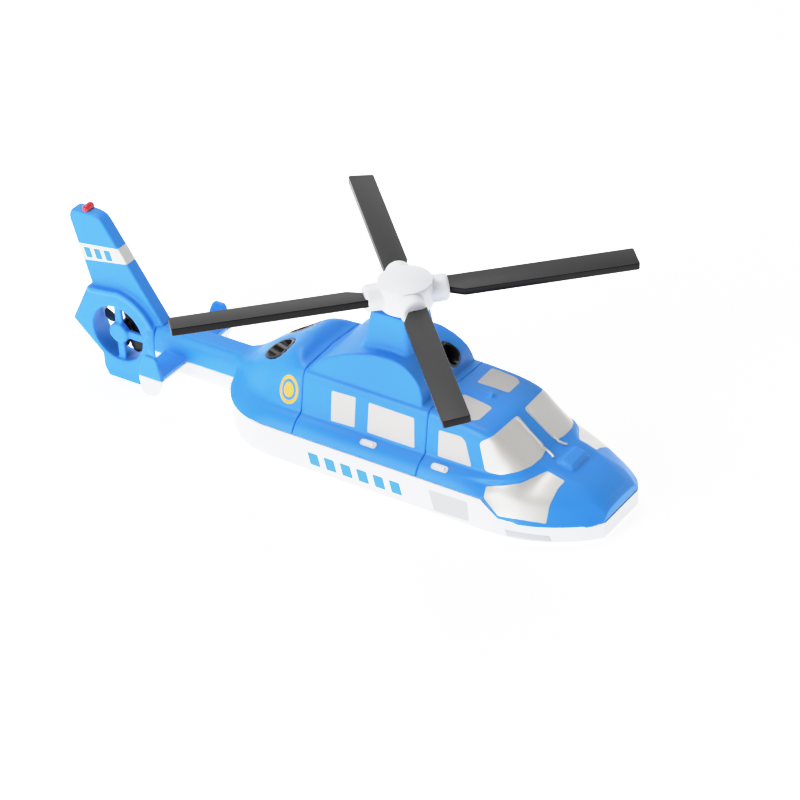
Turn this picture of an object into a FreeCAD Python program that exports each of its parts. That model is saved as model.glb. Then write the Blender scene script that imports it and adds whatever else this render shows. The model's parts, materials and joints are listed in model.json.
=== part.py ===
"""Toy helicopter that comes apart into a hull with its cabin, a nose section and a tail section.

Millimetres. X points to the nose, Y to port, Z up along the rotor mast. The origin lies on the
flat belly, straight under the mast. The tail's ventral fin reaches lower than the belly.
"""
import FreeCAD, Part
import Sketcher
import math
import os
import re

Vector = FreeCAD.Vector
Rotation = FreeCAD.Rotation
Placement = FreeCAD.Placement

DIMENSIONS = {
    # hull tub and the seams that divide the blue upper works
    "beam_half": 36.3, "sheer_z": 17.4, "chin_z": 10.0, "bow_z": 9.2, "bow_x": 109.0,
    "bow_half": 14.5, "bow_sweep": 66.0, "stern_x": -93.0, "stern_sweep": 37.0,
    "straight_rear_x": -58.0, "straight_front_x": 62.0,
    "chin_start_x": 59.0, "chin_full_x": 67.5, "wall": 2.0, "bilge": 2.0,
    "front_seam_x": 25.0, "rear_seam_x": -41.5, "seam_gap": 0.4, "sit_gap": 0.2,
    # cabin profile
    "roof_z": 45.4, "roof_half": 22.4, "deck_z": 42.6,
    # engine cowling on the roof
    "cowl_rear_x": -40.5, "cowl_front_x": 21.4, "cowl_peak_z": 62.2, "cowl_foot_half": 20.5,
    "cowl_top_half": 17.0, "intake_y": 8.2, "intake_z": 54.0, "port_radius": 6.5, "cup_wall": 1.2,
    # mast fairing, bearing and shaft
    "fairing_foot_x": 18.0, "fairing_foot_y": 12.0, "fairing_top_x": 12.6, "fairing_top_y": 9.4,
    "fairing_foot_z": 58.0, "fairing_top_z": 78.0, "bearing_radius": 4.5, "bearing_foot_z": 59.0,
    "bearing_top_z": 78.4, "shaft_radius": 2.0, "running_gap": 0.05, "shaft_foot_z": 54.5,
    "clip_radius": 4.2, "clip_height": 1.2,
    # rotor
    "rotor_radius": 105.0, "chord": 12.0, "blade_thickness": 3.6, "blade_pitch": 6.0,
    "blade_root_x": 17.2, "blade_full_x": 25.5, "root_chord": 8.0, "blade_z": 86.0,
    "spigot_radius": 2.6, "spigot_x": 8.0, "rest_angle": 45.0,
    "hub_radius": 12.4, "hub_foot_z": 79.6, "hub_top_z": 92.0, "collar_radius": 5.9, "collar_end": 18.0,
    "cap_radius": 13.0, "cap_rim": 0.9, "cap_rise": 2.4,
    # screws, magnets and locating pegs
    "post_x": 18.0, "post_back_x": -35.5, "post_y": 18.6, "post_radius": 2.7, "boss_radius": 3.4,
    "screw_radius": 1.25, "screw_head": 2.6, "screw_recess": 2.6, "screw_top_z": 28.0,
    "magnet_radius": 4.0, "magnet_y": 11.0, "magnet_z": 33.0, "peg_y": 25.5, "peg_z": 20.9,
    "peg_radius": 2.0, "peg_length": 6.0, "plate": 2.2, "fit_gap": 0.15,
    "foot_relief": 0.9,
    # tail boom, tailplane and end plates
    "boom_half": 8.0, "boom_top_z": 27.0, "boom_split_z": 15.0, "boom_foot_z": 3.2, "boom_flat": 4.0,
    "boom_end_x": -141.0, "boom_wall": 1.6, "plane_front_x": -122.0, "plane_rear_x": -135.0,
    "plane_top_z": 16.8, "plane_foot_z": 13.6, "plate_y": 27.0, "plate_thickness": 2.0,
    "plate_top_z": 27.0, "plate_foot_z": 5.0,
    # fin with its ducted fan
    "fan_x": -164.8, "fan_z": 15.9, "duct_radius": 14.7, "ring_radius": 24.4, "ring_half": 5.8,
    "fin_half": 3.5, "fin_top_z": 78.0, "keel_z": -10.2, "hub_disc": 4.7, "spoke": 3.6,
    "spider_depth": 2.6, "fan_radius": 14.1, "fan_hub": 4.2, "fan_depth": 4.4, "fan_y": 0.4,
    "axle_radius": 1.0, "beacon_radius": 2.2, "beacon_half": 3.9, "beacon_x": -179.6, "beacon_z": 79.0,
    # exhausts in the rear cowl
    "exhaust_y": 9.5, "exhaust_z": 42.7, "exhaust_front_x": -46.0, "core_radius": 3.1,
    # printed and painted metal-look panels let into the nose
    "panel_gap": 0.06,
}

# One line per station: x, height of the top, half width of the top, height and half width of the
# belt where the white hull begins, and how far the side has turned from upright to bow-shaped.
NOSE_STATIONS = [
    (25.2, 45.4, 22.4, 17.6, 36.2, 0.0),
    (57.0, 42.8, 19.8, 17.6, 36.3, 0.1),
    (59.2, 41.4, 19.4, 17.6, 36.3, 0.2),
    (67.7, 35.3, 17.5, 10.2, 36.4, 0.6),
    (75.0, 29.8, 15.0, 10.1, 35.8, 0.85),
    (88.0, 25.3, 12.0, 9.8, 31.6, 1.0),
    (100.0, 20.8, 9.5, 9.6, 24.4, 1.0),
    (108.8, 14.2, 7.5, 9.4, 16.0, 1.0),
]
TAIL_STATIONS = [
    (-41.7, 45.4, 22.4, 17.6, 36.2, 0.0),
    (-44.6, 46.2, 22.2, 17.6, 36.2, 0.0),
    (-47.0, 48.6, 18.0, 17.6, 36.3, 0.0),
    (-51.0, 49.8, 16.0, 17.6, 36.3, 0.05),
    (-62.0, 43.5, 15.4, 17.6, 36.2, 0.1),
    (-73.0, 37.0, 14.0, 17.6, 33.2, 0.2),
    (-82.0, 31.6, 9.0, 17.6, 27.0, 0.3),
    (-88.0, 28.0, 6.6, 17.6, 19.6, 0.3),
    (-92.8, 25.4, 4.6, 17.6, 8.0, 0.3),
]
# How far out and how far down a side lies between the top edge and the belt, for an upright side
# with its groove under the windows, and for the bow.
UPRIGHT_SIDE = [(0.13, 0.10), (0.25, 0.50), (0.38, 0.74), (0.67, 0.80), (0.86, 0.89)]
BOW_SIDE = [(0.25, 0.08), (0.41, 0.16), (0.54, 0.25), (0.66, 0.39), (0.80, 0.60)]

doc = FreeCAD.newDocument("toy_helicopter")
dims = doc.addObject("Spreadsheet::Sheet", "dims")
parts = []


def fill_sheet():
    """Write every driving dimension into the sheet under its own alias."""
    rows = dict(DIMENSIONS)
    for prefix, stations in (("nose", NOSE_STATIONS), ("tail", TAIL_STATIONS)):
        for number, station in enumerate(stations):
            for word, value in zip(("x", "top", "flat", "belt", "beam", "turn"), station):
                rows[f"{prefix}_{number}_{word}"] = value
    for row, (alias, value) in enumerate(rows.items(), start=1):
        dims.set(f"A{row}", alias)
        dims.set(f"B{row}", str(value))
        dims.setAlias(f"B{row}", alias)
    doc.recompute()
    return rows


SHEET = fill_sheet()
WORD = re.compile(r"\b(" + "|".join(sorted(SHEET, key=len, reverse=True)) + r")\b")


def bound(text):
    """Turn 'beam_half - wall' into an expression on the sheet's cells."""
    return WORD.sub(r"dims.\1", str(text))


def size(text):
    """The present value of such an expression."""
    return float(dims.evalExpression(bound(text)))


def part(kind, label):
    """Start a sub-part: an object with its own label, which names its file."""
    made = doc.addObject(kind, label)
    made.Label = label
    parts.append(made)
    return made


def helper(kind, name):
    """An object that only serves another one."""
    return doc.addObject(kind, name)


def set_size(made, prop, text):
    made.setExpression(prop, bound(text))


def origin_plane(body, role):
    return [item for item in body.Origin.OriginFeatures if item.Role == role][0]


def new_sketch(body, role, offset="0"):
    """A sketch on one of the body's own planes, moved along that plane's normal."""
    sketch = body.newObject("Sketcher::SketchObject", "sketch")
    sketch.AttachmentSupport = (origin_plane(body, role), [""])
    sketch.MapMode = "FlatFace"
    sketch.setExpression("AttachmentOffset.Base.z", bound(offset))
    return sketch


def pin_point(sketch, geometry, end, x_text, y_text):
    """Tie a point of the sketch to two expressions."""
    for kind, text in (("DistanceX", x_text), ("DistanceY", y_text)):
        index = sketch.addConstraint(Sketcher.Constraint(kind, -1, 1, geometry, end, size(text)))
        sketch.setExpression(f"Constraints[{index}]", bound(text))


def arc_between(start, end, radius):
    """The shorter arc of that radius; a positive radius bulges to the left of the chord."""
    chord = end - start
    side = Vector(-chord.y, chord.x, 0).normalize() * math.copysign(1, radius)
    rise = abs(radius) - math.sqrt(radius ** 2 - chord.Length ** 2 / 4)
    return Part.Arc(start, (start + end) / 2 + side * rise, end)


def add_outline(sketch, points):
    """A closed outline. Each point is (x, y) or (x, y, radius of the arc to the next point)."""
    spots = [Vector(size(point[0]), size(point[1]), 0) for point in points]
    first = sketch.GeometryCount
    ends = []
    for index, point in enumerate(points):
        start, end = spots[index], spots[(index + 1) % len(spots)]
        if len(point) == 3:
            arc = arc_between(start, end, size(point[2]))
            number = sketch.addGeometry(arc, False)
            forward = (sketch.getPoint(number, 1) - start).Length < 1e-6
            ends.append((1, 2) if forward else (2, 1))
        else:
            number = sketch.addGeometry(Part.LineSegment(start, end), False)
            ends.append((1, 2))
    for index, point in enumerate(points):
        after = (index + 1) % len(points)
        sketch.addConstraint(
            Sketcher.Constraint("Coincident", first + index, ends[index][1], first + after, ends[after][0]))
        pin_point(sketch, first + index, ends[index][0], point[0], point[1])
    for index, point in enumerate(points):
        if len(point) == 3:
            number = sketch.addConstraint(
                Sketcher.Constraint("Radius", first + index, abs(size(point[2]))))
            sketch.setExpression(f"Constraints[{number}]", bound(f"abs({point[2]})"))


def add_circle(sketch, x_text, y_text, radius_text):
    centre = Vector(size(x_text), size(y_text), 0)
    number = sketch.addGeometry(Part.Circle(centre, Vector(0, 0, 1), size(radius_text)), False)
    pin_point(sketch, number, 3, x_text, y_text)
    index = sketch.addConstraint(Sketcher.Constraint("Radius", number, size(radius_text)))
    sketch.setExpression(f"Constraints[{index}]", bound(radius_text))


def outline(body, role, points, offset="0"):
    sketch = new_sketch(body, role, offset)
    add_outline(sketch, points)
    return sketch


def circles(body, role, spots, radius, offset="0"):
    sketch = new_sketch(body, role, offset)
    for x_text, y_text in spots:
        add_circle(sketch, x_text, y_text, radius)
    return sketch


def feature(body, kind, sketch, length, reverse=False, midplane=False, must_change=True):
    """A pad or pocket of that length. It has to change the body's volume."""
    before = body.Shape.Volume if body.Tip else 0.0
    made = body.newObject(f"PartDesign::{kind}", kind.lower())
    made.Profile = sketch
    made.setExpression("Length", bound(length))
    made.Reversed = reverse
    made.Midplane = midplane
    sketch.Visibility = False
    doc.recompute()
    if must_change and abs(body.Shape.Volume - before) < 0.01:
        raise RuntimeError(f"{body.Label}: {kind} changed nothing")
    return made


def pad(body, sketch, length, **options):
    return feature(body, "Pad", sketch, length, **options)


def pocket(body, sketch, length, **options):
    return feature(body, "Pocket", sketch, length, **options)


def loft(body, sections, cut=False):
    kind = "SubtractiveLoft" if cut else "AdditiveLoft"
    made = body.newObject(f"PartDesign::{kind}", "loft")
    made.Profile = sections[0]
    made.Sections = [(section, [""]) for section in sections[1:]]
    made.Ruled = True
    doc.recompute()
    return made


def round_edges(body, chosen, radius):
    """Fillet the edges of the body for which chosen(edge) is true."""
    base = body.Tip
    names = [f"Edge{number}" for number, edge in enumerate(body.Shape.Edges, start=1) if chosen(edge)]
    made = body.newObject("PartDesign::Fillet", "fillet")
    made.Base = (base, names)
    set_size(made, "Radius", radius)
    doc.recompute()


def mirrored(half):
    """A closed outline from its port half, given from the centre line at the top downwards."""
    port = [(y_text, z_text) for y_text, z_text in half]
    starboard = [(f"-({y_text})", z_text) for y_text, z_text in reversed(half) if y_text != "0"]
    return port + starboard


def box_points(x_low, x_high, y_low, y_high):
    return [(x_low, y_low), (x_high, y_low), (x_high, y_high), (x_low, y_high)]


# ---------------------------------------------------------------- hull and cabin

def hull_plan(inset):
    """The hull's outline from above, drawn in by an inset."""
    stern_tip = f"stern_x + {inset}"
    bow_tip = f"bow_x - {inset}"
    beam = f"beam_half - {inset}"
    shoulder = f"bow_half - {inset} / 2"
    return [
        ("straight_rear_x", f"-({beam})"),
        ("straight_front_x", f"-({beam})", f"-(bow_sweep - {inset})"),
        (bow_tip, f"-({shoulder})"),
        (bow_tip, shoulder, f"-(bow_sweep - {inset})"),
        ("straight_front_x", beam),
        ("straight_rear_x", beam, f"-(stern_sweep - {inset})"),
        (stern_tip, "0", f"-(stern_sweep - {inset})"),
    ]


def make_hull_tub():
    tub = part("PartDesign::Body", "hull_tub")
    pad(tub, outline(tub, "XY_Plane", hull_plan("0")), "sheer_z")
    chin = [("chin_start_x", "sheer_z"), ("chin_full_x", "chin_z"), ("bow_x + 1", "bow_z"),
            ("bow_x + 1", "sheer_z + 1"), ("chin_start_x", "sheer_z + 1")]
    pocket(tub, outline(tub, "XZ_Plane", chin), "2 * beam_half + 2", midplane=True)
    round_edges(tub, lambda edge: edge.BoundBox.ZMax < 0.01, "bilge")
    pocket(tub, outline(tub, "XY_Plane", hull_plan("wall"), "sheer_z"), "sheer_z - wall")
    spots = screw_spots()
    pad(tub, circles(tub, "XY_Plane", spots, "boss_radius", "wall"), "sheer_z - wall - sit_gap")
    pocket(tub, circles(tub, "XY_Plane", spots, "screw_radius + fit_gap"), "sheer_z", reverse=True)
    pocket(tub, circles(tub, "XY_Plane", spots, "screw_head + fit_gap"), "screw_recess", reverse=True)


def screw_spots():
    return [(x_text, y_text) for x_text in ("post_x", "post_back_x") for y_text in ("post_y", "-post_y")]


def side_half(top_z, flat, belt_z, beam, turn, inset):
    """Port half of a section as expressions, from the centre of its top down to its belt."""
    rows = [("0", f"{top_z} - {inset}"), (f"{flat} - {inset} / 2", f"{top_z} - {inset}")]
    for (out_a, down_a), (out_b, down_b) in zip(UPRIGHT_SIDE, BOW_SIDE):
        out = f"({out_a} * (1 - {turn}) + {out_b} * {turn})"
        down = f"({down_a} * (1 - {turn}) + {down_b} * {turn})"
        rows.append((f"{flat} + ({beam} - {flat}) * {out} - {inset}",
                     f"{top_z} - ({top_z} - {belt_z}) * {down} - {inset} / 2"))
    rows.append((f"{beam} - {inset}", belt_z if inset == "0" else f"{belt_z} - 1"))
    return rows


def cabin_half(inset="0"):
    return side_half("roof_z", "roof_half", "(sheer_z + sit_gap)", "beam_half", "0", inset)


def cowling_arch(inset):
    """The engine cowling from the side: two arcs that meet at its peak over the mast."""
    foot = "deck_z"
    return [
        (f"cowl_front_x - {inset}", foot),
        (f"cowl_front_x - {inset}", "roof_z + 1", "-26"),
        ("0", f"cowl_peak_z - {inset}", "-62"),
        (f"cowl_rear_x + {inset}", "roof_z"),
        (f"cowl_rear_x + {inset}", foot),
    ]


def make_cabin_shell():
    shell = part("PartDesign::Body", "cabin_shell")
    length = "front_seam_x - rear_seam_x"
    pad(shell, outline(shell, "YZ_Plane", mirrored(cabin_half()), "rear_seam_x"), length)
    pad(shell, outline(shell, "XZ_Plane", cowling_arch("0")), "2 * cowl_foot_half", midplane=True)
    for side in ("", "-"):
        slant = [(f"{side}(cowl_foot_half)", "roof_z"), (f"{side}(cowl_foot_half + 1)", "roof_z"),
                 (f"{side}(cowl_foot_half + 1)", "cowl_peak_z + 1"),
                 (f"{side}(cowl_top_half)", "cowl_peak_z + 1")]
        pocket(shell, outline(shell, "YZ_Plane", slant), "4 * cowl_peak_z", midplane=True)
    foot = box_points("-fairing_foot_x", "fairing_foot_x", "-fairing_foot_y", "fairing_foot_y")
    top = box_points("-fairing_top_x", "fairing_top_x", "-fairing_top_y", "fairing_top_y")
    loft(shell, [outline(shell, "XY_Plane", foot, "fairing_foot_z"),
                 outline(shell, "XY_Plane", top, "fairing_top_z")])
    pocket(shell, outline(shell, "YZ_Plane", mirrored(cabin_half("wall")), "rear_seam_x - 1"),
           f"{length} + 2", reverse=True)
    pocket(shell, outline(shell, "XZ_Plane", cowling_arch("wall")), "2 * cowl_top_half - 2 * wall",
           midplane=True)
    spots = screw_spots()
    pad(shell, circles(shell, "XY_Plane", spots, "post_radius", "sheer_z"), "deck_z + 1.5 - sheer_z")
    pocket(shell, circles(shell, "XY_Plane", spots, "screw_radius + fit_gap", "sheer_z - 1"),
           "screw_top_z + 1 - sheer_z", reverse=True)
    pocket(shell, circles(shell, "XY_Plane", [("0", "0")], "bearing_radius + running_gap", "deck_z"),
           "2 * fairing_top_z", reverse=True)
    ports = [("intake_y", "intake_z"), ("-intake_y", "intake_z")]
    pocket(shell, circles(shell, "YZ_Plane", ports, "port_radius", "fairing_top_x - 6"), "cowl_front_x",
           reverse=True)


def make_intakes():
    """Black cups behind the two round holes in the front of the cowling."""
    for label, side in (("intake_left", 1), ("intake_right", -1)):
        cup = part("Part::Cut", label)
        cup.Base = cup_blank(f"{label}_blank", side)
        cup.Tool = cup_hollow(f"{label}_hollow", side)


def along_x(made, x_text, y_text, z_text):
    """Lay a cylinder along X with its start at that point."""
    made.Placement = Placement(Vector(0, 0, 0), Rotation(Vector(0, 1, 0), 90))
    for axis, text in (("x", x_text), ("y", y_text), ("z", z_text)):
        made.setExpression(f"Placement.Base.{axis}", bound(text))


def tube(name, radius, length, x_text, y_text, z_text):
    made = helper("Part::Cylinder", name)
    set_size(made, "Radius", radius)
    set_size(made, "Height", length)
    along_x(made, x_text, y_text, z_text)
    return made


def cup_blank(name, side):
    """A round bar trimmed to the cowling's curved front."""
    bar = tube(f"{name}_bar", "port_radius - fit_gap", "cowl_front_x - 8", "8", f"{side} * intake_y",
               "intake_z")
    cowling = helper("PartDesign::Body", f"{name}_cowling")
    pad(cowling, outline(cowling, "XZ_Plane", cowling_arch("0.3")), "2 * cowl_foot_half", midplane=True)
    made = helper("Part::Common", name)
    made.Base = bar
    made.Tool = cowling
    return made


def cup_hollow(name, side):
    return tube(name, "port_radius - fit_gap - cup_wall", "cowl_front_x", "8 + cup_wall",
                f"{side} * intake_y", "intake_z")


def make_bearing():
    bush = part("PartDesign::Body", "rotor_bearing")
    pad(bush, circles(bush, "XY_Plane", [("0", "0")], "bearing_radius", "bearing_foot_z"),
        "bearing_top_z - bearing_foot_z")
    pocket(bush, circles(bush, "XY_Plane", [("0", "0")], "shaft_radius + running_gap"),
           "bearing_top_z + 1", reverse=True)


def make_screws():
    """Four self-tapping screws from the belly into the cabin's posts, as one node."""
    screws = part("Part::Compound", "hull_screws")
    made = []
    for number, (x_text, y_text) in enumerate(screw_spots()):
        body = helper("PartDesign::Body", f"screw_{number}")
        pad(body, circles(body, "XY_Plane", [(x_text, y_text)], "screw_head", "0.5"), "screw_recess - 0.6")
        pad(body, circles(body, "XY_Plane", [(x_text, y_text)], "screw_radius", "1"), "screw_top_z - 1.5")
        slot = box_points(f"{x_text} - 1.8", f"{x_text} + 1.8", f"{y_text} - 0.35", f"{y_text} + 0.35")
        pocket(body, outline(body, "XY_Plane", slot, "0.4"), "0.9", reverse=True)
        made.append(body)
    screws.Links = made


# ---------------------------------------------------------------- seams between the sections

def make_bulkhead(label, x_text, pegs):
    """The plate that closes a section at a seam; pegs is +1 or -1 for pegs that way along X."""
    plate = part("PartDesign::Body", label)
    inner = cabin_half("(wall + 2 * fit_gap)")
    inner[-1] = (f"{inner[-1][0]} - foot_relief", "sheer_z + 2 * sit_gap")
    pad(plate, outline(plate, "YZ_Plane", mirrored(inner), x_text), "plate")
    holes = [("magnet_y", "magnet_z"), ("-magnet_y", "magnet_z")]
    pocket(plate, circles(plate, "YZ_Plane", holes, "magnet_radius + running_gap", x_text), "plate",
           reverse=True)
    spots = [("peg_y", "peg_z"), ("-peg_y", "peg_z")]
    if pegs:
        start = f"{x_text} + plate / 2"
        pad(plate, circles(plate, "YZ_Plane", spots, "peg_radius", start),
            "peg_length + plate / 2", reverse=pegs < 0)
    else:
        pocket(plate, circles(plate, "YZ_Plane", spots, "peg_radius + fit_gap", x_text), "plate",
               reverse=True)


def make_magnets(label, x_texts):
    """Round magnets of one body, flush with its seam faces, as one node."""
    magnets = part("Part::Compound", label)
    made = []
    for number, x_text in enumerate(x_texts):
        for side in (1, -1):
            made.append(tube(f"{label}_{number}_{side + 1}", "magnet_radius", "plate", x_text,
                             f"{side} * magnet_y", "magnet_z"))
    magnets.Links = made


def make_seams():
    front = "front_seam_x - seam_gap / 2 - plate"
    rear = "rear_seam_x + seam_gap / 2"
    nose = "front_seam_x + seam_gap"
    tail = "rear_seam_x - seam_gap - plate"
    make_bulkhead("front_bulkhead", front, 0)
    make_bulkhead("rear_bulkhead", rear, 0)
    make_bulkhead("nose_bulkhead", nose, -1)
    make_bulkhead("tail_bulkhead", tail, 1)
    make_magnets("cabin_magnets", (front, rear))
    make_magnets("nose_magnets", (nose,))
    make_magnets("tail_magnets", (tail,))


# ---------------------------------------------------------------- nose and tail shells

def station_sections(body, prefix, count, inset, first_shift="0", last_shift="0"):
    """Section sketches of a shell, one at each of its stations; the end ones can be shifted along X."""
    sections = []
    shifts = {0: first_shift, count - 1: last_shift}
    for number in range(count):
        cells = [f"{prefix}_{number}_{word}" for word in ("top", "flat", "belt", "beam", "turn")]
        half = side_half(*cells, inset)
        place = f"{prefix}_{number}_x + {shifts.get(number, '0')}"
        sections.append(outline(body, "YZ_Plane", mirrored(half), place))
    return sections


def make_core(name, prefix, count, forward):
    """The hollow inside a shell, as a solid that opens at the seam; forward is 1 for the nose, else -1."""
    core = helper("PartDesign::Body", name)
    seam, end = f"({-forward})", f"({-forward} * wall)"
    loft(core, station_sections(core, prefix, count, "wall", seam, end))
    return core


def make_outer(name, prefix, count):
    outer = helper("PartDesign::Body", name)
    loft(outer, station_sections(outer, prefix, count, "0"))
    return outer


def plan_prism(name, points, low="0", high="roof_z + 6"):
    """A prism over an outline seen from above."""
    prism = helper("PartDesign::Body", name)
    pad(prism, outline(prism, "XY_Plane", points, low), f"{high} - {low}")
    return prism


def windshield_plan(side, gap):
    """One half of the windshield from above, from the centre post out and round the corner."""
    return [("58.6 - " + gap, f"{side} * (3 - {gap})"), ("74.2 + " + gap, f"{side} * (3 - {gap})"),
            ("73.6 + " + gap, f"{side} * 16"), (f"70 + {gap}", f"{side} * 23"),
            (f"63 + {gap}", f"{side} * (28 + {gap})"), (f"52 - {gap}", f"{side} * (28 + {gap})"),
            (f"52 - {gap}", f"{side} * 22.5")]


def chin_plan(side, gap):
    """One chin window from above, between the hood and the sill."""
    return [(f"79.5 - {gap}", f"{side} * (13 - {gap})"), (f"88.6 + {gap}", f"{side} * (13 - {gap})"),
            (f"87.4 + {gap}", f"{side} * (40 + {gap})"), (f"60 - {gap}", f"{side} * (40 + {gap})"),
            (f"60 - {gap}", f"{side} * 30.5"), (f"75.5 - {gap}", f"{side} * 23.5")]


def make_panel(label, points, low):
    """A panel with the outer skin's shape, let into its own opening in the nose shell."""
    prism = plan_prism(f"{label}_prism", points, low)
    blank = helper("Part::Common", f"{label}_blank")
    blank.Base = make_outer(f"{label}_outer", "nose", len(NOSE_STATIONS))
    blank.Tool = prism
    panel = part("Part::Cut", label)
    panel.Base = blank
    panel.Tool = make_core(f"{label}_core", "nose", len(NOSE_STATIONS), 1)


def make_nose():
    count = len(NOSE_STATIONS)
    openings = []
    for word, side in (("left", 1), ("right", -1)):
        make_panel(f"windshield_{word}", windshield_plan(side, "0"), "25")
        make_panel(f"chin_window_{word}", chin_plan(side, "0"), "11.5")
        openings.append(plan_prism(f"windshield_hole_{word}", windshield_plan(side, "panel_gap"),
                                   "25 - panel_gap"))
        openings.append(plan_prism(f"chin_hole_{word}", chin_plan(side, "panel_gap"), "11.5 - panel_gap"))
    openings.append(make_core("nose_core", "nose", count, 1))
    holes = helper("Part::MultiFuse", "nose_openings")
    holes.Shapes = openings
    shell = part("Part::Cut", "nose_shell")
    shell.Base = make_outer("nose_outer", "nose", count)
    shell.Tool = holes
    doc.recompute()


def boom_half_section(inset):
    """Upper half of the boom's section, from its top to the split line."""
    return [("0", f"boom_top_z - {inset}"), (f"boom_flat - {inset} / 3", f"boom_top_z - {inset}"),
            (f"boom_half - 0.7 - {inset}", "boom_top_z - 3.6"), (f"boom_half - {inset}", "boom_split_z")]


def boom_lower_section(inset):
    return [("0", "boom_split_z"), (f"boom_half - {inset}", "boom_split_z"),
            (f"boom_half - 0.7 - {inset}", "boom_split_z - 7"),
            (f"boom_flat - {inset} / 3", f"boom_foot_z + {inset}"), ("0", f"boom_foot_z + {inset}")]


def end_plate(upper):
    """An end plate from the side, above or below the split line."""
    if upper:
        return [("plane_front_x + 0.7", "boom_split_z"), ("-124", "plate_top_z"), ("-130.6", "plate_top_z"),
                ("-133", "plate_top_z - 4.6"), ("plane_rear_x", "boom_split_z")]
    return [("plane_rear_x", "boom_split_z"), ("-134.6", "8.6"), ("-133.4", "plate_foot_z"),
            ("-125.6", "plate_foot_z"), ("plane_front_x + 0.7", "boom_split_z")]


def add_tailplane(body, upper):
    """Half of the tailplane's thickness with its two end plates, above or below the split line."""
    low, high = ("boom_split_z", "plane_top_z") if upper else ("plane_foot_z", "boom_split_z")
    across = [("plane_front_x", "boom_half - 1"), ("plane_front_x", "plate_y"),
              ("plane_rear_x + 1", "plate_y"), ("plane_rear_x", "boom_half - 1")]
    for side in ("", "-"):
        points = [(x_text, f"{side}({y_text})") for x_text, y_text in across]
        pad(body, outline(body, "XY_Plane", points, low), f"{high} - {low}")
    for side in (1, -1):
        offset = f"-({side} * plate_y - plate_thickness / 2)"
        pad(body, outline(body, "XZ_Plane", end_plate(upper), offset), "plate_thickness", reverse=True)


def make_tail_shell():
    """Rear cowl, upper half of the boom, of the tailplane and of its end plates, in one moulding."""
    count = len(TAIL_STATIONS)
    shell = part("Part::Cut", "tail_shell")
    skin = make_outer("tail_outer", "tail", count)
    boom = "stern_x - boom_end_x + 9"
    pad(skin, outline(skin, "YZ_Plane", mirrored(boom_half_section("0")), "boom_end_x"), boom)
    under = box_points("stern_x - seam_gap", "stern_x + 12", "-boom_half - 1", "boom_half + 1")
    pocket(skin, outline(skin, "XY_Plane", under, "sheer_z + sit_gap"), "sheer_z")
    add_tailplane(skin, True)
    hollow = helper("Part::MultiFuse", "tail_hollow")
    core = make_core("tail_core", "tail", count, -1)
    channel = helper("PartDesign::Body", "boom_channel")
    inner = mirrored(boom_half_section("boom_wall")[:-1] + [("boom_half - boom_wall", "boom_split_z - 1")])
    pad(channel, outline(channel, "YZ_Plane", inner, "boom_end_x - 1"), "stern_x - boom_end_x - wall")
    ports = [tube(f"exhaust_hole_{side + 1}", "port_radius", "50", "exhaust_front_x - 50",
                  f"{side} * exhaust_y", "exhaust_z") for side in (1, -1)]
    hollow.Shapes = [core, channel] + ports
    shell.Base = skin
    shell.Tool = hollow
    doc.recompute()


def make_boom_lower():
    lower = part("PartDesign::Body", "boom_lower")
    length = "stern_x - seam_gap - boom_end_x"
    pad(lower, outline(lower, "YZ_Plane", mirrored(boom_lower_section("0")[1:]), "boom_end_x"), length)
    inner = [("boom_half - boom_wall", "boom_split_z + 1")] + boom_lower_section("boom_wall")[2:]
    pocket(lower, outline(lower, "YZ_Plane", mirrored(inner), "boom_end_x - 1"), f"{length} - boom_wall",
           reverse=True)
    add_tailplane(lower, False)


def make_exhausts():
    """Black nozzles whose mouths follow the rear cowl's slope, each with a smaller pipe inside."""
    for label, side in (("exhaust_left", 1), ("exhaust_right", -1)):
        y_text = f"{side} * exhaust_y"
        bar = tube(f"{label}_bar", "port_radius - fit_gap", "30", "exhaust_front_x - 30", y_text, "exhaust_z")
        skin = make_outer(f"{label}_skin", "tail", len(TAIL_STATIONS))
        blank = helper("Part::Common", f"{label}_blank")
        blank.Base = bar
        blank.Tool = skin
        cup = helper("Part::Cut", f"{label}_cup")
        cup.Base = blank
        cup.Tool = tube(f"{label}_hollow", "port_radius - fit_gap - cup_wall", "29",
                        "exhaust_front_x - 30 - cup_wall", y_text, "exhaust_z")
        core = tube(f"{label}_core", "core_radius", "12", "exhaust_front_x - 12.5", y_text, "exhaust_z")
        nozzle = part("Part::Fuse", label)
        nozzle.Base = cup
        nozzle.Tool = core


# ---------------------------------------------------------------- fin, beacon and tail fan

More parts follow.
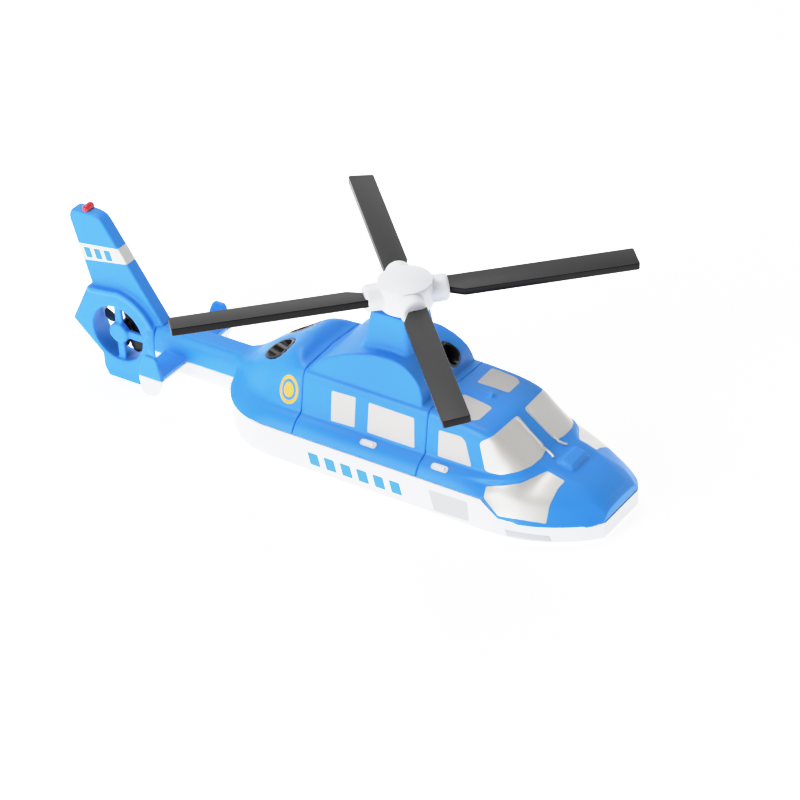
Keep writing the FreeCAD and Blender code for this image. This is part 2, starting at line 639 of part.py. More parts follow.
def make_tail_fin():
    fin = part("PartDesign::Body", "tail_fin")
    blade = [("-178.8", "fan_z + 20"), ("-188.6", "73.6"), ("-186", "fin_top_z - 0.6"), ("-184", "fin_top_z"),
             ("-174", "fin_top_z"), ("-170.6", "fin_top_z - 0.8"), ("-168.4", "75.2"),
             ("-137.2", "boom_top_z"), ("boom_end_x - seam_gap / 2", "boom_top_z"),
             ("boom_end_x - seam_gap / 2", "fan_z")]
    pad(fin, outline(fin, "XZ_Plane", blade), "2 * fin_half", midplane=True)
    housing = [
        ("-180.5", "38"),
        ("-162", "fan_z + sqrt(ring_radius ^ 2 - (fan_x + 162) ^ 2)", "ring_radius"),
        ("fan_x + ring_radius", "fan_z", "ring_radius"),
        ("-149.6", "fan_z - sqrt(ring_radius ^ 2 - (fan_x + 149.6) ^ 2)"),
        ("-153.4", "-3.4"),
        ("-154", "keel_z"),
        ("-172.8", "keel_z"),
        ("-175.2", "keel_z + 4.6"),
        ("-175.2", "1.6"),
        ("-191.6", "fan_z + 1.1"),
    ]
    pad(fin, outline(fin, "XZ_Plane", housing), "2 * ring_half", midplane=True)
    neck = mirrored(boom_half_section("0") + [("boom_half - 0.7", "boom_split_z - 7"),
                                              ("boom_flat", "boom_foot_z")])
    pad(fin, outline(fin, "YZ_Plane", neck, "boom_end_x - seam_gap / 2"), "6", reverse=True)
    pocket(fin, circles(fin, "XZ_Plane", [("fan_x", "fan_z")], "duct_radius"), "4 * ring_half",
           midplane=True)
    starboard = "ring_half - 1 - spider_depth"
    spokes = [box_points("fan_x - spoke / 2", "fan_x + spoke / 2", "fan_z - duct_radius - 1",
                         "fan_z + duct_radius + 1"),
              box_points("fan_x", "fan_x + duct_radius + 1", "fan_z - spoke / 2", "fan_z + spoke / 2")]
    for points in spokes:
        pad(fin, outline(fin, "XZ_Plane", points, starboard), "spider_depth")
    pad(fin, circles(fin, "XZ_Plane", [("fan_x", "fan_z")], "hub_disc", starboard), "spider_depth")
    pocket(fin, circles(fin, "XZ_Plane", [("fan_x", "fan_z")], "axle_radius + running_gap", starboard),
           "spider_depth - 0.8", reverse=True)
    pocket(fin, circles(fin, "XZ_Plane", [("beacon_x", "beacon_z")], "beacon_radius + running_gap"),
           "4 * fin_half", midplane=True)


def make_beacon():
    beacon = part("PartDesign::Body", "beacon")
    pad(beacon, circles(beacon, "XZ_Plane", [("beacon_x", "beacon_z")], "beacon_radius"),
        "2 * beacon_half", midplane=True)
    round_edges(beacon, lambda edge: isinstance(edge.Curve, Part.Circle), "beacon_radius - 0.2")


def make_axle():
    axle = part("PartDesign::Body", "fan_axle")
    pad(axle, circles(axle, "XZ_Plane", [("fan_x", "fan_z")], "axle_radius", "-(fan_y + fan_depth + 1)"),
        "fan_y + fan_depth + ring_half - 1.2")
    pad(axle, circles(axle, "XZ_Plane", [("fan_x", "fan_z")], "2 * axle_radius", "-(fan_y + fan_depth + 1)"),
        "0.8")


def make_tail_fan():
    """A hub with five broad blades that spins on the axle in the duct."""
    fan = part("PartDesign::Body", "tail_fan")
    back = "-(fan_y + fan_depth)"
    pad(fan, circles(fan, "XZ_Plane", [("0", "0")], "fan_hub", back), "fan_depth")
    petal = outline(fan, "XZ_Plane", [("2.6", "-2"), ("12.6", "-5.6", "-fan_radius"), ("13", "5"),
                                      ("2.6", "2")], f"{back} + 1.4")
    blade = pad(fan, petal, "1.6")
    spin = fan.newObject("PartDesign::PolarPattern", "blades")
    spin.Originals = [blade]
    spin.Axis = (origin_plane(fan, "Y_Axis"), [""])
    spin.Angle = 360
    spin.Occurrences = 5
    fan.Tip = spin
    doc.recompute()
    pocket(fan, circles(fan, "XZ_Plane", [("0", "0")], "axle_radius + 2 * running_gap"),
           "4 * fan_depth", midplane=True)
    fan.setExpression("Placement.Base.x", bound("fan_x"))
    fan.setExpression("Placement.Base.z", bound("fan_z"))


# ---------------------------------------------------------------- main rotor

def make_hub():
    hub = part("PartDesign::Body", "rotor_hub")
    pad(hub, circles(hub, "XY_Plane", [("0", "0")], "hub_radius", "hub_foot_z"), "hub_top_z - hub_foot_z")
    for role in ("YZ_Plane", "XZ_Plane"):
        pad(hub, circles(hub, role, [("0", "blade_z")], "collar_radius"), "2 * collar_end", midplane=True)
        pocket(hub, circles(hub, role, [("0", "blade_z")], "spigot_radius + fit_gap"),
               "2 * collar_end + 2", midplane=True)
    pad(hub, circles(hub, "XY_Plane", [("0", "0")], "spigot_x - fit_gap", "hub_foot_z"),
        "hub_top_z - hub_foot_z")
    pocket(hub, circles(hub, "XY_Plane", [("0", "0")], "shaft_radius"), "hub_top_z - 2", reverse=True)
    hub.Placement = Placement(Vector(0, 0, 0), Rotation(Vector(0, 0, 1), size("rest_angle")))
    hub.setExpression("Placement.Rotation.Angle", bound("rest_angle"))


def make_cap():
    cap = part("PartDesign::Body", "hub_cap")
    sketch = new_sketch(cap, "XZ_Plane")
    sphere = "(cap_radius ^ 2 + cap_rise ^ 2) / (2 * cap_rise)"
    add_outline(sketch, [("0", "hub_top_z"), ("cap_radius", "hub_top_z"),
                         ("cap_radius", "hub_top_z + cap_rim", f"-({sphere})"),
                         ("0", "hub_top_z + cap_rim + cap_rise")])
    turned = cap.newObject("PartDesign::Revolution", "turned")
    turned.Profile = sketch
    turned.ReferenceAxis = (sketch, ["V_Axis"])
    turned.Angle = 360
    doc.recompute()


def make_blades():
    """Four equal blades: a flat aerofoil with one root corner cut off and a round spigot."""
    for number in range(4):
        blade = part("PartDesign::Body", f"rotor_blade_{number + 1}")
        plan = [("blade_root_x + 1", "chord / 2"), ("blade_root_x + 1", "chord / 2 - root_chord"),
                ("blade_full_x", "-chord / 2"), ("rotor_radius - 1", "-chord / 2"),
                ("rotor_radius", "1 - chord / 2"), ("rotor_radius", "chord / 2 - 1"),
                ("rotor_radius - 1", "chord / 2")]
        pad(blade, outline(blade, "XY_Plane", plan), "blade_thickness", midplane=True)
        pad(blade, circles(blade, "YZ_Plane", [("0", "0")], "spigot_radius", "spigot_x"),
            "blade_full_x - spigot_x")
        turn = Rotation(Vector(0, 0, 1), 90 * number + size("rest_angle"))
        pitch = Rotation(Vector(1, 0, 0), size("blade_pitch"))
        blade.Placement = Placement(Vector(0, 0, size("blade_z")), turn.multiply(pitch))
        blade.setExpression("Placement.Base.z", bound("blade_z"))


def make_shaft():
    """The rotor's shaft with a groove under the bearing, and the clip that sits in the groove."""
    centre = [("0", "0")]
    shaft = part("PartDesign::Body", "rotor_shaft")
    pad(shaft, circles(shaft, "XY_Plane", centre, "shaft_radius - 0.01", "shaft_foot_z"),
        "hub_top_z - 2.2 - shaft_foot_z")
    ring = new_sketch(shaft, "XY_Plane", "bearing_foot_z - 0.3 - clip_height")
    add_circle(ring, "0", "0", "shaft_radius + 1")
    add_circle(ring, "0", "0", "shaft_radius - 0.5")
    pocket(shaft, ring, "clip_height", reverse=True)
    clip = part("PartDesign::Body", "shaft_clip")
    pad(clip, circles(clip, "XY_Plane", centre, "clip_radius", "bearing_foot_z - 0.25 - clip_height"),
        "clip_height - 0.1")
    pocket(clip, circles(clip, "XY_Plane", centre, "shaft_radius - 0.45", "shaft_foot_z"),
           "bearing_foot_z", reverse=True)
    mouth = box_points("0", "clip_radius + 1", "0.4 - shaft_radius", "shaft_radius - 0.4")
    pocket(clip, outline(clip, "XY_Plane", mouth, "shaft_foot_z"), "bearing_foot_z", reverse=True)


def check_and_write():
    """Stop on any failed object, then write one STEP file for each sub-part."""
    doc.recompute()
    for item in doc.Objects:
        if "Invalid" in item.State or "Error" in item.State:
            raise RuntimeError(f"{item.Label} ({item.TypeId}) is {item.State}")
    os.makedirs("parts", exist_ok=True)
    for item in parts:
        if item.Shape.isNull() or not item.Shape.isValid() or not item.Shape.Solids:
            raise RuntimeError(f"{item.Label} has no valid solid")
        item.Shape.exportStep(f"parts/{item.Label}.step")
        box = item.Shape.optimalBoundingBox()
        print(f"{item.Label:18s} solids {len(item.Shape.Solids)} volume {item.Shape.Volume:9.1f}"
              f"  x {box.XMin:7.1f} {box.XMax:7.1f}  y {box.YMin:6.1f} {box.YMax:6.1f}"
              f"  z {box.ZMin:6.1f} {box.ZMax:6.1f}")


make_hull_tub()
make_cabin_shell()
make_intakes()
make_bearing()
make_screws()
make_seams()
make_nose()
make_tail_shell()
make_boom_lower()
make_exhausts()
make_tail_fin()
make_beacon()
make_axle()
make_tail_fan()
make_hub()
make_cap()
make_blades()
make_shaft()
check_and_write()
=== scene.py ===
"""Looks of the toy helicopter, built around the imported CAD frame.

Shapes are written in millimetres, in the frame's own axes: X to the nose, Y to port, Z up along the mast.
They are turned into metres when a mesh is made. The white hull carries three blue sections that meet at
two seams; each section is a shell lofted through sections across X, whose corners follow named rails.
"""
import json
import math

import bmesh
import bpy
import numpy as np
from mathutils import Matrix, Vector
from mathutils.bvhtree import BVHTree


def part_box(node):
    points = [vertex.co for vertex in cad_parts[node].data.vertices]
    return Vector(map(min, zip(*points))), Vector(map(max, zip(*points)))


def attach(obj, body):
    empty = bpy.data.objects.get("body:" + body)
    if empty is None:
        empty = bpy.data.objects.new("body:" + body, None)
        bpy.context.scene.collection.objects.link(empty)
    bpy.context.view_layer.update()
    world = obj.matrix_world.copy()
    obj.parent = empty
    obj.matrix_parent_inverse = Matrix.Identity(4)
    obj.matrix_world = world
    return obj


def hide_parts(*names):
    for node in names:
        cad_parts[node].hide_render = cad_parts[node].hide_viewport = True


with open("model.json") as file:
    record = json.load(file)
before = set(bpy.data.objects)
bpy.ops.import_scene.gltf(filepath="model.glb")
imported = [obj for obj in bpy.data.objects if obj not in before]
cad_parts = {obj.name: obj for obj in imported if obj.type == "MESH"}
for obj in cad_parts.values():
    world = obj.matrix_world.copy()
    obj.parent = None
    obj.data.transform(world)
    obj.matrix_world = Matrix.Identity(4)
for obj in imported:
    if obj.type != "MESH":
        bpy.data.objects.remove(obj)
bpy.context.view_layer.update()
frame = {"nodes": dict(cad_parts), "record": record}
MM = 0.001
UP, PORT, FORWARD = (0, 0, 1), (0, 1, 0), (1, 0, 0)
SIDES = (("left", 1), ("right", -1))


def low_high(node):
    """A CAD node's box in millimetres."""
    low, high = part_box(node)
    return low / MM, high / MM


TUB_LOW, TUB_HIGH = low_high("hull_tub")
CABIN_LOW, CABIN_HIGH = low_high("cabin_shell")
NOSE_LOW, NOSE_HIGH = low_high("nose_shell")
TAIL_LOW, TAIL_HIGH = low_high("tail_shell")
FIN_LOW, FIN_HIGH = low_high("tail_fin")
FAN_LOW, FAN_HIGH = low_high("tail_fan")
HUB_LOW, HUB_HIGH = low_high("rotor_hub")
CAP_LOW, CAP_HIGH = low_high("hub_cap")
LOWER_LOW, LOWER_HIGH = low_high("boom_lower")

SHEER = TUB_HIGH.z
BELT = SHEER + 0.2
BEAM = TUB_HIGH.y
FAN_X = (FAN_LOW.x + FAN_HIGH.x) / 2
FAN_Z = (low_high("fan_axle")[0].z + low_high("fan_axle")[1].z) / 2
BLADE_Z = HUB_HIGH.z - 6.0
VOXEL = 0.56
# how far each blue shell reaches into the gap at a seam, and how deep its end is recessed
SEAM_LIP = 0.1
RECESS = 2.6


# ---- mesh helpers

def add_object(name, data):
    """An object in the scene that holds the data."""
    made = bpy.data.objects.new(name, data)
    bpy.context.scene.collection.objects.link(made)
    return made


def new_object(name, points, faces):
    """A mesh object from points in millimetres."""
    mesh = bpy.data.meshes.new(name)
    mesh.from_pydata([tuple(float(c) * MM for c in point) for point in points], [], faces)
    mesh.update()
    return add_object(name, mesh)


def mend_normals(piece):
    """Turn every face outwards."""
    work = bmesh.new()
    work.from_mesh(piece.data)
    bmesh.ops.recalc_face_normals(work, faces=work.faces)
    work.to_mesh(piece.data)
    work.free()


def apply_modifiers(piece):
    """Bake the modifiers into the piece's own mesh."""
    graph = bpy.context.evaluated_depsgraph_get()
    mesh = bpy.data.meshes.new_from_object(piece.evaluated_get(graph))
    piece.modifiers.clear()
    old = piece.data
    piece.data = mesh
    bpy.data.meshes.remove(old)


def combine(piece, other, operation):
    """Boolean with another object, which is used up."""
    modifier = piece.modifiers.new("boolean", "BOOLEAN")
    modifier.object = other
    modifier.operation = operation
    modifier.solver = "EXACT"
    apply_modifiers(piece)
    bpy.data.objects.remove(other)
    return piece


def soften(piece, voxel=VOXEL, steps=3):
    """Even out the mesh and round its edges as moulded plastic is rounded."""
    modifier = piece.modifiers.new("remesh", "REMESH")
    modifier.mode = "VOXEL"
    modifier.voxel_size = voxel * MM
    smooth = piece.modifiers.new("smooth", "SMOOTH")
    smooth.factor = 0.5
    smooth.iterations = steps
    apply_modifiers(piece)
    piece.data.shade_smooth()


def bevel(piece, width, segments, angle=35):
    """Round the edges that are sharper than the angle."""
    modifier = piece.modifiers.new("bevel", "BEVEL")
    modifier.width = width * MM
    modifier.segments = segments
    modifier.limit_method = "ANGLE"
    modifier.angle_limit = math.radians(angle)
    modifier.use_clamp_overlap = True
    apply_modifiers(piece)


def smooth_shade(piece, angle=35):
    """Smooth shading, except over edges sharper than the angle."""
    piece.data.shade_smooth()
    piece.data.set_sharp_from_angle(angle=math.radians(angle))


def arc_points(start, end, radius, count=12):
    """Points after start up to end on an arc; a positive radius bulges to the left of the chord."""
    start, end = np.array(start, float), np.array(end, float)
    chord = end - start
    length = np.linalg.norm(chord)
    side = np.array([-chord[1], chord[0]]) / length * math.copysign(1, radius)
    depth = math.sqrt(radius ** 2 - length ** 2 / 4)
    centre = (start + end) / 2 - side * depth
    first = math.atan2(*(start - centre)[::-1])
    turn = math.atan2(*(end - centre)[::-1]) - first
    turn = (turn + math.pi) % (2 * math.pi) - math.pi
    angles = first + turn * np.arange(1, count + 1) / count
    return [tuple(centre + abs(radius) * np.array([math.cos(a), math.sin(a)])) for a in angles]


def outline_points(corners):
    """Corners (x, y), or (x, y, radius) where an arc of that radius leads to the next corner."""
    points = []
    for index, corner in enumerate(corners):
        points.append(corner[:2])
        if len(corner) == 3:
            points.extend(arc_points(corner[:2], corners[(index + 1) % len(corners)][:2], corner[2])[:-1])
    return points


def corner_curve(before, here, after, radius, steps=4):
    """A short curve in place of the corner at here."""
    ends = []
    for other in (before, after):
        length = max(np.linalg.norm(other - here), 1e-6)
        ends.append(here + (other - here) / length * min(radius, 0.45 * length))
    return [(1 - share) ** 2 * ends[0] + 2 * share * (1 - share) * here + share ** 2 * ends[1]
            for share in np.linspace(0, 1, steps + 1)]


def rounded(corners, radius, steps=4):
    """The closed outline with each corner drawn as a short curve; a corner may hold its own radius."""
    points = []
    count = len(corners)
    for index, corner in enumerate(corners):
        before, here, after = (np.array(corners[(index + k) % count][:2], float) for k in (-1, 0, 1))
        own = corner[2] if len(corner) == 3 else radius
        points.extend(tuple(point) for point in corner_curve(before, here, after, own, steps))
    return points


PLACE = {
    "X": lambda a, b, c: (c, a, b),
    "Y": lambda a, b, c: (a, c, b),
    "Z": lambda a, b, c: (a, b, c),
}


def prism(name, outline, axis, low, high):
    """An outline pushed along an axis. Outlines are (x, y) for Z, (x, z) for Y and (y, z) for X."""
    place = PLACE[axis]
    count = len(outline)
    points = [place(a, b, c) for c in (low, high) for a, b in outline]
    faces = [tuple(range(count)), tuple(range(2 * count - 1, count - 1, -1))]
    faces += [(i, (i + 1) % count, count + (i + 1) % count, count + i) for i in range(count)]
    piece = new_object(name, points, faces)
    mend_normals(piece)
    return piece


def block(name, low, high):
    """A box between two corners."""
    outline = [(low[0], low[1]), (high[0], low[1]), (high[0], high[1]), (low[0], high[1])]
    return prism(name, outline, "Z", low[2], high[2])


def loft(name, rings):
    """A closed skin through rings of equally many points."""
    count = len(rings[0])
    points = [point for ring in rings for point in ring]
    faces = [tuple(range(count)), tuple(range(len(points) - 1, len(points) - count - 1, -1))]
    for number in range(len(rings) - 1):
        a, b = number * count, (number + 1) * count
        faces += [(a + i, a + (i + 1) % count, b + (i + 1) % count, b + i) for i in range(count)]
    piece = new_object(name, points, faces)
    mend_normals(piece)
    return piece


def lathe(name, profile, centre, axis, sides):
    """A profile of (along, radius) turned round an axis through the centre."""
    along = Vector(axis).normalized()
    side = along.orthogonal().normalized()
    other = along.cross(side)
    angles = np.linspace(0, 2 * math.pi, sides, endpoint=False)
    spokes = [side * math.cos(a) + other * math.sin(a) for a in angles]
    return loft(name, [[Vector(centre) + along * distance + spoke * radius for spoke in spokes]
                       for distance, radius in profile])


def tube_along(name, path, radius, sides=10):
    """A round bar through points, with ends closed."""
    points = [Vector(point) for point in path]
    rings = []
    for index, point in enumerate(points):
        ahead = points[min(index + 1, len(points) - 1)] - points[max(index - 1, 0)]
        side = ahead.cross(Vector(UP)).normalized()
        other = ahead.cross(side).normalized()
        rings.append([point + (side * math.cos(a) + other * math.sin(a)) * radius
                      for a in np.linspace(0, 2 * math.pi, sides, endpoint=False)])
    return loft(name, rings)


def join(name, pieces):
    """Several objects as one."""
    work = bmesh.new()
    for piece in pieces:
        work.from_mesh(piece.data)
        bpy.data.objects.remove(piece)
    mesh = bpy.data.meshes.new(name)
    work.to_mesh(mesh)
    work.free()
    return add_object(name, mesh)


# ---- rails and sections

def between(knots, x):
    """Monotone cubic through (x, value) knots."""
    xs, values = np.array(knots, float).T
    if x <= xs[0]:
        return values[0]
    if x >= xs[-1]:
        return values[-1]
    steps = np.diff(xs)
    slopes = np.diff(values) / steps
    tangents = np.zeros(len(xs))
    tangents[0], tangents[-1] = slopes[0], slopes[-1]
    for k in range(1, len(xs) - 1):
        if slopes[k - 1] * slopes[k] > 0:
            left, right = 2 * steps[k] + steps[k - 1], steps[k] + 2 * steps[k - 1]
            tangents[k] = (left + right) / (left / slopes[k - 1] + right / slopes[k])
    k = int(np.searchsorted(xs, x)) - 1
    share = (x - xs[k]) / steps[k]
    return ((1 + 2 * share) * (1 - share) ** 2 * values[k] + share * (1 - share) ** 2 * steps[k] * tangents[k]
            + share ** 2 * (3 - 2 * share) * values[k + 1]
            + share ** 2 * (share - 1) * steps[k] * tangents[k + 1])


def corners_at(rails, x):
    """Port half of the section at x: (y, z, corner radius) for each rail."""
    found = []
    for rail in rails:
        knots = sorted(rail)
        found.append(tuple(between([(knot[0], knot[k]) for knot in knots], x) for k in (1, 2, 3)))
    return found


def section_ring(rails, x, inset=0.0, foot=0.0):
    """The closed section at x from its rails, mirrored; inset draws it inwards and foot lowers its base."""
    corners = corners_at(rails, x)
    belt_z = corners[-1][1]
    scale_y = 1 - inset / corners[-1][0]
    scale_z = 1 - inset / (corners[0][1] - belt_z)
    spots = [np.array((y * scale_y, belt_z + (z - belt_z) * scale_z)) for y, z, _ in corners]
    port = []
    for index in range(1, len(spots) - 1):
        port.extend(corner_curve(*spots[index - 1:index + 2], corners[index][2]))
    port.append(spots[-1] - np.array((0, foot)))
    ring = [(0.0, spots[0][1])] + [tuple(point) for point in port] + [(-y, z) for y, z in reversed(port)]
    return [(x, y, z) for y, z in ring]


def shell_solid(name, rails, stations):
    """A section of the body, lofted through its rails at the stations."""
    return loft(name, [section_ring(rails, x) for x in stations])


def seam_recess(name, rails, seam, depth, wall=2.0):
    """What is cut from a section's end so that its bulkhead lies inside the wall."""
    outside = seam - math.copysign(1, depth)
    rings = [section_ring(rails, x, wall, 6.0) for x in (seam, seam + depth)]
    rings[0] = [(outside, y, z) for _, y, z in rings[0]]
    return loft(name, rings)


CABIN_RAILS = [
    [(0, 0.0, 46.6, 1)],
    [(0, 22.4, 45.2, 3.2)],
    [(0, 24.2, 42.2, 2.0)],
    [(0, 27.6, 24.8, 1.5)],
    [(0, 31.65, 23.2, 2.5)],
    [(0, 34.3, 20.7, 2.5)],
    [(0, 36.2, BELT, 1)],
]

NOSE_RAILS = [
    # centre line: roof, windshield, sill, hood, bow
    [(25.2, 0, 46.6, 1), (42, 0, 45.8, 1), (52, 0, 44.4, 1), (57.3, 0, 42.8, 1), (60, 0, 40.6, 1),
     (66, 0, 35.6, 1), (72.5, 0, 30.2, 1), (74.4, 0, 28.9, 1), (77, 0, 28.0, 1), (80, 0, 27.2, 1),
     (88, 0, 25.0, 1), (100, 0, 21.4, 1), (106, 0, 17.8, 1), (108.7, 0, 14.4, 1)],
    # outer corner of roof and windshield
    [(25.2, 22.4, 45.2, 2.4), (42, 22.2, 44.3, 2.4), (52, 21.8, 42.9, 2.6), (57.3, 21.2, 41.2, 3),
     (60, 20.7, 39.2, 4), (66, 19.6, 34.7, 4.5), (72.5, 17.2, 29.9, 4), (74.4, 15.0, 28.9, 3),
     (77, 12.5, 28.0, 3), (80, 11, 27.0, 3), (88, 10.5, 24.8, 3), (100, 8, 21.2, 3), (106, 7, 17.5, 3),
     (108.7, 6, 14.2, 2)],
    # upper side, under that corner
    [(25.2, 24.2, 42.2, 1.6), (42, 24.1, 41.4, 1.8), (52, 24.0, 39.6, 2), (57.3, 23.8, 37.4, 3),
     (60, 23.9, 35.4, 3), (66, 23.4, 31.2, 3), (72.5, 19.8, 29.0, 2), (74.4, 15.6, 28.7, 2),
     (77, 13.0, 28.0, 2), (80, 12.0, 26.9, 1.5), (88, 11.8, 24.7, 2), (100, 10, 20.8, 2),
     (106, 9, 17.1, 2), (108.7, 8, 14.0, 2)],
    # foot of the windows, where the sill starts
    [(25.2, 27.6, 24.8, 1.5), (42, 27.4, 25.0, 1.5), (52, 27.2, 25.3, 1.5), (57.3, 27.0, 25.4, 1.5),
     (60, 26.9, 25.6, 1.5), (66, 25.9, 26.6, 1.5), (72.5, 20.6, 28.3, 1.5), (74.4, 16.8, 28.5, 1.5),
     (77, 13.8, 27.9, 1.5), (80, 12.7, 26.8, 1), (88, 12.6, 24.5, 2), (100, 12, 20.2, 2),
     (106, 11, 16.5, 2), (108.7, 10, 13.8, 2)],
    # outer edge of the sill
    [(25.2, 31.65, 23.2, 2.5), (42, 31.2, 23.4, 2), (52, 30.4, 23.8, 1.5), (57.3, 29.9, 24.2, 1.2),
     (60, 29.6, 24.5, 1.0), (66, 28.2, 25.5, 1.0), (72.5, 23.8, 26.7, 1.0), (74.4, 20.5, 27.0, 1.0),
     (77, 16.4, 27.0, 1.0), (80, 13.4, 26.4, 1.0), (88, 13.6, 24.0, 2), (100, 14, 19.3, 2.5),
     (106, 13, 15.8, 2), (108.7, 11.5, 13.4, 2)],
    # foot of the sill, top of the chin window
    [(25.2, 32.6, 22.6, 1), (42, 32.2, 22.6, 1), (52, 31.2, 22.6, 1), (57.3, 30.4, 22.4, 0.8),
     (60, 30.0, 22.5, 0.8), (66, 28.7, 23.1, 0.8), (72.5, 24.5, 24.2, 0.8), (74.4, 21.3, 24.7, 0.8),
     (77, 17.3, 25.3, 0.8), (80, 14.2, 25.8, 0.8), (88, 14.4, 23.6, 2), (100, 15, 18.6, 2),
     (106, 14, 15.0, 2), (108.7, 12.4, 12.9, 2)],
    # crease of the chin
    [(25.2, 34.3, 20.7, 2.5), (42, 34.2, 20.6, 2.5), (57.3, 33.8, 20.0, 2), (66, 32.6, 19.6, 2.2),
     (72.5, 30.8, 19.4, 2.5), (80, 28.0, 19.0, 3), (88, 24.6, 18.4, 3.5), (96, 20.4, 17.2, 4),
     (102, 17.4, 15.4, 4), (108.7, 13.4, 12.2, 2)],
    # belt
    [(25.2, 36.2, BELT, 1), (57.3, 36.3, BELT, 1), (59.2, 36.3, 17.2, 1), (67.7, 36.4, 10.4, 1),
     (75, 35.9, 10.1, 1), (82, 34.2, 9.9, 1), (88, 31.7, 9.8, 1), (94, 28.6, 9.7, 1), (100, 24.8, 9.6, 1),
     (105, 20.8, 9.5, 1), (108.7, 15.4, 9.5, 1)],
]

TAIL_RAILS = [
    [(-41.7, 0, 46.4, 1), (-44.5, 0, 47.2, 1), (-48, 0, 49.0, 1), (-51, 0, 49.9, 1), (-53, 0, 49.5, 1),
     (-62, 0, 45.2, 1), (-73, 0, 38.8, 1), (-80, 0, 33.4, 1), (-86, 0, 28.2, 1), (-92.8, 0, 26.8, 1)],
    [(-41.7, 22.2, 45.2, 2.4), (-44.5, 20.6, 46.0, 3), (-48, 17.2, 48.2, 4), (-51, 15.6, 48.8, 5),
     (-62, 14.6, 43.6, 6), (-73, 12.6, 36.8, 5), (-82, 9.0, 30.8, 4), (-88, 6.2, 27.4, 2.5),
     (-92.8, 4.6, 26.4, 2)],
    [(-41.7, 24.2, 42.2, 1.6), (-48, 23.2, 43.2, 3), (-51, 22.6, 42.8, 4), (-62, 21.2, 37.8, 5),
     (-73, 17.6, 32.6, 5), (-82, 12.0, 28.8, 4), (-88, 8.4, 26.4, 3), (-92.8, 6.8, 24.6, 2)],
    [(-41.7, 27.6, 24.8, 1.5), (-52.9, 28.0, 24.8, 2), (-61.3, 27.2, 24.8, 2.5), (-68.2, 24.8, 24.7, 3),
     (-74.9, 21.0, 24.5, 3), (-79.5, 17.0, 24.4, 3), (-86, 11.2, 24.0, 3), (-92.8, 7.6, 22.6, 2)],
    [(-41.7, 31.65, 23.2, 2.5), (-55, 31.6, 23.2, 2.5), (-62, 30.6, 23.1, 2.5), (-70, 27.8, 22.8, 2.5),
     (-78, 22.4, 22.3, 2.5), (-86, 14.6, 21.8, 2.5), (-92.8, 7.9, 20.6, 2)],
    [(-41.7, 34.3, 20.7, 2.5), (-58, 34.2, 20.7, 2.5), (-65, 33.4, 20.6, 2.5), (-72, 30.8, 20.4, 2.5),
     (-79, 26.0, 20.2, 2.5), (-86, 18.6, 19.8, 2.5), (-90, 12.8, 19.5, 2), (-92.8, 8.0, 19.0, 1)],
    [(-41.7, 36.2, BELT, 1), (-56, 36.3, BELT, 1), (-64.7, 36.0, BELT, 1), (-69.4, 34.9, BELT, 1),
     (-75.3, 32.2, BELT, 1), (-81.2, 28.0, BELT, 1), (-86.9, 21.8, BELT, 1), (-90.6, 15.4, BELT, 1),
     (-92.8, 8.4, BELT, 1)],
]


def stations(start, end, step=1.2):
    """Evenly spaced places along X, about a step apart."""
    return list(np.linspace(start, end, max(2, int(abs(end - start) / step))))


# ---- materials

FINISHES = {}


def set_inputs(node, values):
    """Give the node's named inputs their values."""
    for name, value in values.items():
        node.inputs[name].default_value = value


def plastic(name, colour, roughness, tint, metallic=0.0, grain=0.012, coat=0.0, specular=0.5):
    """Moulded plastic or paint: slow changes of shade by the tint, fine moulded grain and uneven gloss.
    It goes into FINISHES, and its name comes back."""
    material = bpy.data.materials.new(name)
    material.use_nodes = True
    nodes, links = material.node_tree.nodes, material.node_tree.links
    shader = nodes["Principled BSDF"]
    where = nodes.new("ShaderNodeTexCoord")
    shade = nodes.new("ShaderNodeTexNoise")
    set_inputs(shade, {"Scale": 22.0, "Detail": 4.0})
    mix = nodes.new("ShaderNodeMix")
    mix.data_type = "RGBA"
    mix.inputs[6].default_value = (*[c * (1 - tint) for c in colour], 1)
    mix.inputs[7].default_value = (*[min(1, c * (1 + tint)) for c in colour], 1)
    gloss = nodes.new("ShaderNodeMapRange")
    set_inputs(gloss, {"To Min": roughness * 0.88, "To Max": min(1, roughness * 1.14)})
    fine = nodes.new("ShaderNodeTexNoise")
    set_inputs(fine, {"Scale": 900.0, "Detail": 2.0})
    bump = nodes.new("ShaderNodeBump")
    set_inputs(bump, {"Strength": 0.35, "Distance": grain * MM})
    for noise in (shade, fine):
        links.new(where.outputs["Object"], noise.inputs["Vector"])
    links.new(shade.outputs["Fac"], mix.inputs[0])
    links.new(mix.outputs[2], shader.inputs["Base Color"])
    links.new(shade.outputs["Fac"], gloss.inputs["Value"])
    links.new(gloss.outputs["Result"], shader.inputs["Roughness"])
    links.new(fine.outputs["Fac"], bump.inputs["Height"])
    links.new(bump.outputs["Normal"], shader.inputs["Normal"])
    set_inputs(shader, {"Metallic": metallic, "Coat Weight": coat, "Coat Roughness": 0.15,
                        "Specular IOR Level": specular})
    FINISHES[name] = material
    return name


